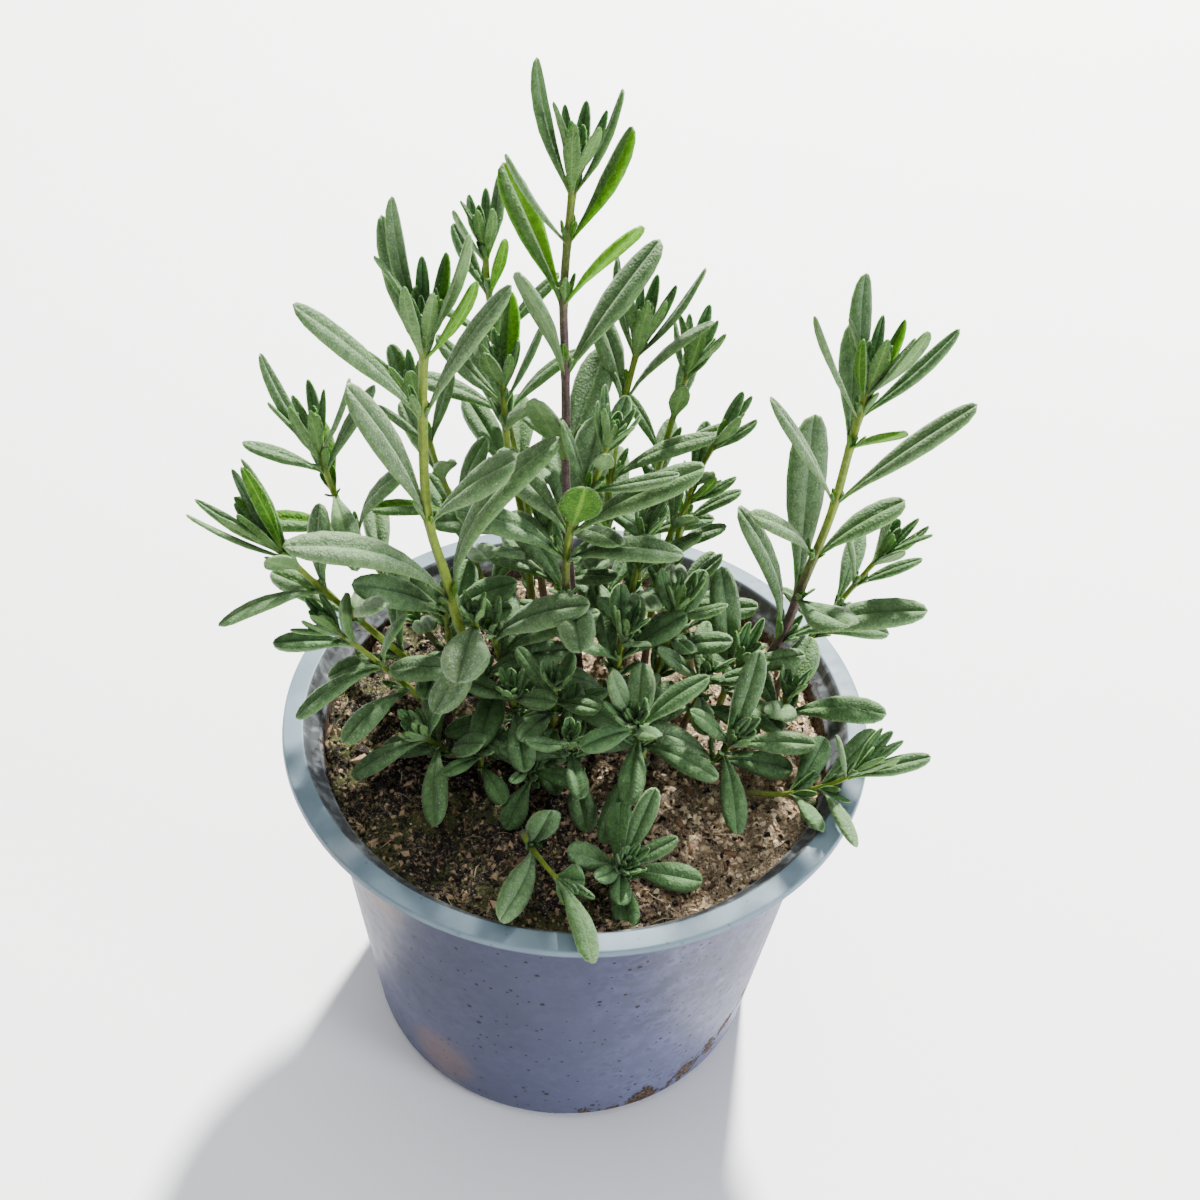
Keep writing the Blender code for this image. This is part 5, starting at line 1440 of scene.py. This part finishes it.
def blade_share(t):
    """The outline of a blade: a narrow foot, widest past the middle, with a blunt round tip."""
    if t <= WIDEST_AT:
        s = t / WIDEST_AT
        return LEAF_NECK + (1 - LEAF_NECK) * s * s * (3 - 2 * s)
    s = (t - WIDEST_AT) / (1 - WIDEST_AT)
    return math.sqrt(max(0.0, 1 - s ** 2.5))


def blade_template(name, section, stations):
    """A blade whose points each carry how they are to be laid out on a real leaf."""
    ring = section + [(-share, rise, height, below) for share, rise, height, below in section[-2:0:-1]]
    points = []
    numbers = {key: [] for key in ("along", "across", "reach", "rise", "height", "below")}
    for t in [*stations, 1.0]:
        outline = blade_share(t)
        thin = 0.35 + 0.65 * min(1.0, outline * 1.4)
        corners = ring if t < 1.0 else [BLADE_TIP]
        for share, rise, height, below in corners:
            points.append((share * outline, t * 4, rise * outline + height * thin * 0.3))
            row = (t, share, share * outline, rise * outline, height * thin, below)
            for values, value in zip(numbers.values(), row):
                values.append(float(value))
    around = len(ring)
    last = around * (len(stations) - 1)
    faces = [list(range(around))] + ring_faces(len(stations), around)
    faces += [[last + side, last + (side + 1) % around, len(points) - 1] for side in range(around)]
    blade = grain_template(name, points, faces)
    for key, values in numbers.items():
        mark(blade.data, key, values)
    return blade


def section_template():
    """The outline of a stem cut across: square, with rounded corners and slightly hollow sides."""
    points = []
    for quarter in range(4):
        for turn, reach in STEM_CORNER:
            angle = math.radians(90 * quarter + turn)
            points.append((reach * math.cos(angle), reach * math.sin(angle), 0))
    mesh = bpy.data.meshes.new("stem_section")
    count = len(points)
    mesh.from_pydata(points, [(side, (side + 1) % count) for side in range(count)], [])
    return put_in_scene("stem_section", mesh)


def seat_points(name, leaves, looks):
    """A point for each leaf, which carries the leaf's place, directions, sizes and looks."""
    vectors = {key: [] for key in ("seat", "chord", "face")}
    numbers = {key: [] for key in ("length", "width", "arch", "roll", "tone", "light", "plump", "spoon")}
    for leaf, (tone, light, plump, spoon) in zip(leaves, looks):
        seat = leaf.base + leaf.outward() * leaf.root * LEAF_SEAT
        for values, vector in zip(vectors.values(), (seat * MM, *leaf.axes())):
            values.append(vector)
        sizes = (leaf.length * MM, leaf.width * MM, leaf.arch, math.radians(leaf.roll))
        for values, number in zip(numbers.values(), (*sizes, tone, light, plump * MM, spoon)):
            values.append(number)
    mesh = bpy.data.meshes.new(name)
    mesh.from_pydata(vectors["seat"], [], [])
    for key, values in vectors.items():
        attribute = mesh.attributes.new(key, "FLOAT_VECTOR", "POINT")
        attribute.data.foreach_set("vector", [part for vector in values for part in vector])
    for key, values in numbers.items():
        mark(mesh, key, values)
    return put_in_scene(name, mesh)


def stem_path(name, curve, nodes, woody):
    """The line that a stem follows, with its thickness and colour at each point. It swells at its nodes."""
    places = {curve.above + curve.span * node + shift for node in nodes for shift in NODE_RINGS}
    step_count = int(curve.total / RING_STEP)
    places |= {curve.total * step / step_count for step in range(step_count + 1)}
    ordered = [0.0]
    for place in sorted(places):
        if LEAST_RING_STEP < place - ordered[-1] and place <= curve.total:
            ordered.append(place)
    points = []
    radii = []
    brown = []
    for place in ordered:
        share = max(0.0, (place - curve.above) / curve.span)
        radius = curve.radius(share)
        for node in nodes:
            away = (share - node) * curve.span / NODE_LENGTH
            radius *= 1 + NODE_SWELLING * math.exp(-away * away)
        points.append(curve.at(place)[0] * MM)
        radii.append(radius * STEM_SLIMMED * MM)
        brown.append(max(0.0, min(1.0, (woody - share) / 0.25 + 0.5)))
    mesh = bpy.data.meshes.new(name)
    mesh.from_pydata(points, [(index, index + 1) for index in range(len(points) - 1)], [])
    mark(mesh, "thickness", radii)
    mark(mesh, "woody", brown)
    mark(mesh, "on_stem", [1.0] * len(points))
    return put_in_scene(name, mesh)


def laid_out(writer, blade, seats, waviness):
    """A blade on each seat, bent and twisted as its seat says."""
    inputs = {"Points": template(writer, seats), "Instance": template(writer, blade)}
    raised = writer.add("GeometryNodeInstanceOnPoints", inputs).outputs[0]
    real = writer.add("GeometryNodeRealizeInstances", {"Geometry": raised}).outputs[0]
    along = stored(writer, "along")
    seat = stored(writer, "seat", "FLOAT_VECTOR")
    chord = stored(writer, "chord", "FLOAT_VECTOR")
    face = stored(writer, "face", "FLOAT_VECTOR")
    reach = stored(writer, "reach")
    length = stored(writer, "length")
    arch = writer.times(stored(writer, "arch"), 4.0)
    bow = writer.times(along, writer.minus(1.0, along))
    up = writer.times(writer.times(bow, arch), length)
    middle = writer.vector("ADD", seat, writer.scaled(chord, writer.times(along, length)))
    middle = writer.vector("ADD", middle, writer.scaled(face, up))
    slope = writer.times(arch, writer.minus(1.0, writer.times(along, 2.0)))
    upper = writer.vector("NORMALIZE", writer.vector("SUBTRACT", face, writer.scaled(chord, slope)))
    side = writer.vector("CROSS_PRODUCT", chord, face)
    twist = writer.times(stored(writer, "roll"), along)
    turn_cos = writer.math("COSINE", twist)
    turn_sin = writer.math("SINE", twist)
    across = writer.vector("ADD", writer.scaled(side, turn_cos), writer.scaled(upper, turn_sin))
    normal = writer.vector("SUBTRACT", writer.scaled(upper, turn_cos), writer.scaled(side, turn_sin))
    fuller = writer.times(stored(writer, "spoon"), writer.minus(along, 0.5))
    half_width = writer.times(stored(writer, "width"), 0.5)
    half_width = writer.times(half_width, writer.plus(fuller, 1.0))
    thick = writer.times(stored(writer, "height"), stored(writer, "plump"))
    lift = writer.plus(writer.times(stored(writer, "rise"), half_width), thick)
    place = writer.vector("ADD", middle, writer.scaled(across, writer.times(reach, half_width)))
    inputs = {"Vector": place, "Scale": WAVES_PER_METRE, "Detail": 1.0}
    wave = writer.add("ShaderNodeTexNoise", inputs).outputs["Fac"]
    ripple = writer.times(writer.minus(wave, 0.5), waviness)
    ripple = writer.times(ripple, writer.math("ABSOLUTE", reach))
    place = writer.vector("ADD", place, writer.scaled(normal, writer.plus(lift, ripple)))
    return writer.add("GeometryNodeSetPosition", {"Geometry": real, "Position": place}).outputs[0]


def joined(writer, parts):
    """Several pieces of geometry as one, in the order in which their links are made."""
    whole = writer.add("GeometryNodeJoinGeometry", {})
    for part in parts:
        writer.tree.links.new(part, whole.inputs[0])
    return whole.outputs[0]


def hairs_over(writer, surface, given):
    """Short hairs that lean every way, most of them along the leaves' edges."""
    edge = writer.math("GREATER_THAN", writer.math("ABSOLUTE", stored(writer, "across")), HAIRY_EDGE)
    on_stem = writer.times(stored(writer, "on_stem"), HAIRS_ON_STEM)
    furry = writer.plus(writer.plus(writer.times(edge, HAIRS_ON_EDGE), on_stem), HAIRS_ELSEWHERE)
    spread = writer.add("GeometryNodeDistributePointsOnFaces", {
        "Mesh": surface, "Density": writer.times(furry, given["Hairs per square metre"]),
        "Seed": given["Seed"]})
    angles = writer.add("ShaderNodeCombineXYZ", {
        0: random_number(writer, -0.7, 0.7, 41), 1: random_number(writer, -0.7, 0.7, 42),
        2: random_number(writer, -3.0, 3.0, 43)}).outputs[0]
    long = writer.times(random_number(writer, 0.45, 1.0, 44), given["Hair length"])
    hairs = writer.add("GeometryNodeInstanceOnPoints", {
        "Points": spread.outputs["Points"], "Instance": template(writer, given["Hair"]),
        "Rotation": turned_further(writer, spread.outputs["Rotation"], angles),
        "Scale": writer.scaled((1.0, 1.0, 1.0), long)}).outputs[0]
    return with_number(writer, hairs, "hair", 1.0)


def shoot_tree():
    """A stem along its path, a blade on each seat, a bud in each leaf's fork, and hairs over all."""
    tree, writer, given = tree_with_inputs("leafy_shoot", [
        ("Path", "Geometry"), ("Stem section", "Object"), ("Blade", "Object"), ("Leaf seats", "Object"),
        ("Bud", "Object"), ("Bud seats", "Object"), ("Waviness", "Float"), ("Hair", "Object"),
        ("Hairs per square metre", "Float"), ("Hair length", "Float"), ("Seed", "Int"),
        ("Material", "Material")])
    path = writer.add("GeometryNodeMeshToCurve", {"Mesh": given["Path"]}).outputs[0]
    section = template(writer, given["Stem section"])
    outline = writer.add("GeometryNodeMeshToCurve", {"Mesh": section}).outputs[0]
    stem = writer.add("GeometryNodeCurveToMesh", {
        "Curve": path, "Profile Curve": outline, "Scale": stored(writer, "thickness"),
        "Fill Caps": True}).outputs[0]
    leaves = laid_out(writer, given["Blade"], given["Leaf seats"], given["Waviness"])
    buds = laid_out(writer, given["Bud"], given["Bud seats"], given["Waviness"])
    grown = joined(writer, (buds, leaves, stem))
    finish_tree(writer, joined(writer, (hairs_over(writer, grown, given), grown)), given["Material"])
    return tree


def blade_faces(paint, mottle, pores):
    """The felted upper face with its dark groove, and the veined lower face.

    Returns the colour, and where the veins of the lower face are.
    """
    along = paint.attribute("along")
    away = paint.math("ABSOLUTE", paint.attribute("across"))
    tone = paint.attribute("tone")
    upper = paint.blend(tone, paint.blend(mottle, *FRESH_GREEN), paint.blend(mottle, *GREY_GREEN))
    felt = paint.times(paint.between(pores, 0.42, 0.12), paint.plus(paint.times(tone, 0.30), 0.05))
    upper = paint.blend(felt, upper, FELT)
    upper = paint.blend(paint.times(paint.between(away, 0.15, 0.02), 0.5), upper, GROOVE)
    course = paint.minus(paint.times(along, 9.0), paint.times(away, 1.4))
    side_veins = paint.between(paint.math("PINGPONG", course, 0.5), 0.11, 0.0)
    veins = paint.math("MAXIMUM", paint.between(away, 0.16, 0.05), paint.times(side_veins, 0.35))
    lower = paint.blend(paint.times(veins, 0.5), paint.blend(mottle, *LOWER_GREEN), LOWER_VEIN)
    return paint.blend(paint.attribute("below"), upper, lower), veins


def lit_through(paint, colour, mottle, veins):
    """Adds the light that shows through a leaf, weaker on one half of its upper face.

    Returns the colour, and how much light shows.
    """
    half = paint.between(paint.attribute("across"), -0.12, 0.12)
    facing = paint.math("MAXIMUM", half, paint.attribute("below"))
    light = paint.times(paint.attribute("light"), paint.plus(paint.times(facing, 0.58), 0.42))
    glow = paint.blend(paint.between(light, 0.5, 0.9), paint.blend(mottle, *DIM_LIGHT),
                       paint.blend(mottle, *FULL_LIGHT))
    glow = paint.blend(paint.times(veins, 0.45), glow, LIT_VEIN)
    return paint.blend(paint.between(light, 0.0, 0.55), colour, glow), light


def worn_edges(paint, colour):
    """Adds the yellower foot of a leaf, its pale edge and tip, and grains of dust on it."""
    along = paint.attribute("along")
    away = paint.math("ABSOLUTE", paint.attribute("across"))
    colour = paint.blend(paint.times(paint.between(along, 0.20, 0.02), 0.75), colour, LEAF_FOOT)
    edge = paint.math("MAXIMUM", paint.between(away, 0.92, 1.0), paint.between(along, 0.96, 0.995))
    colour = paint.blend(paint.times(edge, 0.38), colour, LEAF_EDGE)
    dust = paint.times(paint.between(paint.cells(1.3), 0.15, 0.07), paint.chosen_cells(1.3, 0.80, 0.83))
    return paint.blend(paint.times(dust, 0.5), colour, LEAF_DUST)


def felted_leaf():
    """Leaf, stem and hair: felted leaves, greyer with age, on stems that go from green to woody brown."""
    paint = MaterialWriter("lavender_leaf")
    mottle = paint.between(paint.cloud(1.7, 5.0, 0.7), 0.30, 0.70)
    pores = paint.cells(0.55)
    leaf, veins = blade_faces(paint, mottle, pores)
    leaf, light = lit_through(paint, leaf, mottle, veins)
    leaf = worn_edges(paint, leaf)
    stem = paint.blend(paint.attribute("woody"), paint.blend(mottle, *GREEN_STEM),
                       paint.blend(mottle, *WOODY_STEM))
    on_stem = paint.attribute("on_stem")
    colour = paint.blend(on_stem, leaf, stem)
    paint.set("Base Color", paint.blend(paint.attribute("hair"), colour, HAIR_COLOUR))
    paint.set("Roughness", 0.66)
    matt = paint.minus(1.0, paint.times(paint.between(light, 0.3, 0.7), 0.8))
    paint.set("Specular IOR Level", paint.times(matt, 0.35))
    paint.set("Sheen Weight", paint.times(matt, 0.14))
    paint.set("Sheen Roughness", 0.45)
    paint.set("Sheen Tint", (0.88, 0.95, 0.84, 1.0))
    paint.set("Subsurface Weight", 0.3)
    paint.set("Subsurface Radius", (0.5, 1.0, 0.12))
    paint.set("Subsurface Scale", 1.0 * MM)
    bare = paint.minus(1.0, on_stem)
    paint.bump([(paint.times(paint.cloud(2.6, 2.0), bare), 0.4, 0.5), (paint.times(pores, bare), 0.20, 0.9),
                (paint.cloud(0.4, 3.0, 0.65), 0.16, 0.9)])
    return paint.material


def sprout(leaf, draw):
    """The young shoot in a leaf's fork: a pair of small narrow leaves, often with a second one inside it."""
    vigour = draw.choice(SPROUT_LENGTHS) * min(1.0, 0.35 + leaf.length / 26)
    lean = leaf.spread * draw.uniform(0.35, 0.55)
    young = []
    for level, (side_turn, share) in enumerate(SPROUT_PAIRS):
        if level and vigour < SECOND_PAIR_FROM:
            break
        for turn in (-side_turn, side_turn):
            foot = leaf.base + leaf.outward() * leaf.root * 0.4 + leaf.stem * 0.5 * level
            length = vigour * share * draw.uniform(0.8, 1.1)
            young.append(Leaf((foot, leaf.stem, leaf.root), leaf.azimuth + turn + draw.uniform(-10, 10),
                              lean * (1.0 - 0.35 * level) + draw.uniform(-5, 5), length,
                              length * 0.19 + 0.65, 0.05, draw.uniform(-12, 12)))
    return young


def sprouts_of(leaves, pair_count, around, draw):
    """The small leaves in the forks of the leaf pairs, as many as touch nothing."""
    return [young for leaf in leaves[:pair_count] for young in sprout(leaf, draw)
            if not touches(around, young, YOUNG_CLEARANCE)]


def inner_tuft(shoot, curve, around, draw):
    """The smallest folded leaves at the very tip, in pairs that close round each other."""
    length = shoot.tuft[0] if shoot.tuft else 8
    turn = shoot.pairs[-1][1] + 45
    leaves = []
    for index in range(TIP_LEAVES):
        size = length * (1.02 - 0.075 * index) * draw.uniform(0.9, 1.08)
        spread = 24 - 2.2 * index + draw.uniform(-5, 6)
        leaf = Leaf(curve.node(0.998), turn + 90 * index + 27 * (index // 4), spread, size,
                    size * 0.10 + 1.3, draw.uniform(-0.02, 0.06), draw.uniform(-LEAF_TWIST, LEAF_TWIST))
        if not touches(around, leaf, YOUNG_CLEARANCE):
            leaves.append(leaf)
    return leaves


def greyness(leaf, draw):
    """How grey a leaf's felt is, 0 to 1: most on the long leaves halfway up, and less on the young tips."""
    height = (leaf.base.z - SOIL_TOP) / 110
    raised = 0.30 * min(height, 0.6) - 0.35 * max(0.0, height - 0.6)
    grey = 0.20 + raised + 0.016 * (leaf.length - 14) + draw.uniform(-0.25, 0.25)
    return max(0.0, min(1.0, grey))


def shown_light(leaf, choices, draw):
    """How much light a leaf or bud shows through, 0 to 1, and next to none near the soil."""
    shown = draw.choice(choices)
    return shown if leaf.base.z - SOIL_TOP > SHADED_BELOW else min(shown, SHOWN_IN_SHADE)


def outline_lean(leaf, share, draw):
    """Wider towards a blunt tip on a shoot's lower leaves, and slender and pointed at its top."""
    slender = max(0.0, leaf.length / leaf.width - 3.5) * 0.10
    lean = 0.38 - 0.8 * share * share - slender * share + draw.uniform(-0.15, 0.15)
    return max(-0.8, min(0.5, lean))


def leaf_looks(shoot, leaves, paired, draw):
    """For each leaf: how grey it is, paler where sunlight is painted on it, the light it shows through, its
    thickness and its outline.
    """
    lit = AGAINST_LIGHT.get(shoot.name, {})
    pale = PAINTED_SUNLIT_LEAVES.get(shoot.name, {})
    looks = []
    for index, leaf in enumerate(leaves):
        # A listed leaf is made paler as painted sunlight
        tone = max(greyness(leaf, draw), pale.get(index, 0.0))
        light = shown_light(leaf, SHOWN_THROUGH, draw)
        lean = outline_lean(leaf, min(1.0, index / max(1, paired)), draw)
        looks.append((tone, lit.get(index, light), 1.0 if leaf.length > 14 else 0.8, lean))
    return looks


curves, placed = grow_shoots()
growing = shoot_tree()
leaf_paint = felted_leaf()
blade = blade_template("leaf_blade", BLADE_SECTION, BLADE_STATIONS)
bud_blade = blade_template("bud_blade", BUD_SECTION, BUD_STATIONS)
section = section_template()
hair = spike_template("leaf_hair", HAIR_WIDTH)
bodies = {}
for shoot in SHOOTS:
    bodies[shoot.name] = [stem_solid(curves[shoot.name])]
    bodies[shoot.name] += [leaf_solid(leaf) for leaf in placed[shoot.name]]
detail = random.Random(DETAIL_SEED)
for number, shoot in enumerate(SHOOTS):
    curve = curves[shoot.name]
    leaves = placed[shoot.name]
    around = tree_of(solids_of_others(bodies, shoot.name))
    paired = max(0, len(leaves) - 2 * len(shoot.tuft))
    for leaf in leaves[min(paired, SLIM_FROM.get(shoot.name, paired)):]:
        leaf.width *= TUFT_SLIMMED
    young = sprouts_of(leaves, paired, around, detail) + inner_tuft(shoot, curve, around, detail)
    buds = [leaf for leaf in young if leaf.length < LONGEST_BUD]
    leaves = leaves + [leaf for leaf in young if leaf.length >= LONGEST_BUD]
    seats = seat_points("leaf_seats", leaves, leaf_looks(shoot, leaves, paired, detail))
    bud_looks = [(greyness(bud, detail), shown_light(bud, BUDS_SHOW_THROUGH, detail), 0.6, -0.2)
                 for bud in buds]
    bud_seats = seat_points("bud_seats", buds, bud_looks)
    nodes = [pair[0] for pair in shoot.pairs]
    piece = stem_path("lavender_" + shoot.name, curve, nodes, WOODY.get(shoot.name, WOODY_ELSEWHERE))
    modifier = piece.modifiers.new("Growth", "NODES")
    modifier.node_group = growing
    set_inputs(modifier, {
        "Stem section": section, "Blade": blade, "Leaf seats": seats, "Bud": bud_blade,
        "Bud seats": bud_seats, "Waviness": WAVINESS * MM, "Hair": hair,
        "Hairs per square metre": HAIRS_PER_SQUARE_METRE, "Hair length": HAIR_LENGTH * MM,
        "Seed": number, "Material": leaf_paint})
    made_plain(piece)
    for spare in (seats, bud_seats):
        bpy.data.objects.remove(spare, do_unlink=True)
    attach(piece, "root")
    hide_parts("shoot_" + shoot.name)
for spare in (blade, bud_blade, section, hair, crumb, flake, fibre, chip, spike):
    bpy.data.objects.remove(spare, do_unlink=True)


# Floor, light and camera
# A pale paper floor that runs far out round the pot, a window light from behind it, a weak cool light
# from the right and a soft fill from overhead, and the photograph's viewpoint: above the front of the pot.
PAPER_HALF = 3000
PAPER_HEIGHT = -0.2
SKY = (0.95, 0.97, 1.0)
SKY_STRENGTH = 0.355


def floor_paper():
    paint = MaterialWriter("pale_paper")
    paint.set("Base Color", paint.blend(paint.cloud(60), (0.93, 0.93, 0.935), (0.96, 0.96, 0.96)))
    paint.set("Roughness", 0.9)
    return paint.material


def area_light(name, place, aim, size, power, colour):
    """A round light that shines from its place to its aim, both in metres, with its power in watts."""
    data = bpy.data.lights.new(name, "AREA")
    data.shape = "DISK"
    data.size = size
    data.energy = power
    data.color = colour
    light = put_in_scene(name, data)
    light.location = place
    light.rotation_euler = (Vector(aim) - Vector(place)).to_track_quat("-Z", "Y").to_euler()


corners = [(PAPER_HALF * x, PAPER_HALF * y, PAPER_HEIGHT) for x, y in ((-1, -1), (1, -1), (1, 1), (-1, 1))]
floor = new_piece("paper_floor", corners, [[0, 1, 2, 3]], floor_paper())
area_light("window", (0.30, 1.18, 1.40), (0, 0, 0.1), 0.16, 172, (1.0, 0.985, 0.95))
area_light("side", (1.15, -0.68, 0.4), (0, 0, 0.06), 0.5, 20, (0.86, 0.90, 1.0))
area_light("fill", (-0.25, -0.10, 1.6), (0, 0, 0.1), 1.4, 15.5, (0.95, 0.97, 1.0))
world = bpy.data.worlds.new("studio")
bpy.context.scene.world = world
world.use_nodes = True
world.node_tree.nodes["Background"].inputs["Color"].default_value = (*SKY, 1.0)
world.node_tree.nodes["Background"].inputs["Strength"].default_value = SKY_STRENGTH

camera_data = bpy.data.cameras.new("camera")
camera_data.lens = 48.0
camera_data.sensor_width = 36.0
camera_data.clip_start = 0.01
camera = put_in_scene("camera", camera_data)

# The viewpoint fitted to the photograph: its place in metres, and what is right and up in the picture
place = Vector((0.0, -0.2488, 0.3489))
right = Vector((0.9983, 0.0306, 0.0493))
up = Vector((-0.0571, 0.6675, 0.7424))
back = right.cross(up)
camera.matrix_world = Matrix((
    (right.x, up.x, back.x, place.x), (right.y, up.y, back.y, place.y),
    (right.z, up.z, back.z, place.z), (0, 0, 0, 1)))
bpy.context.scene.camera = camera
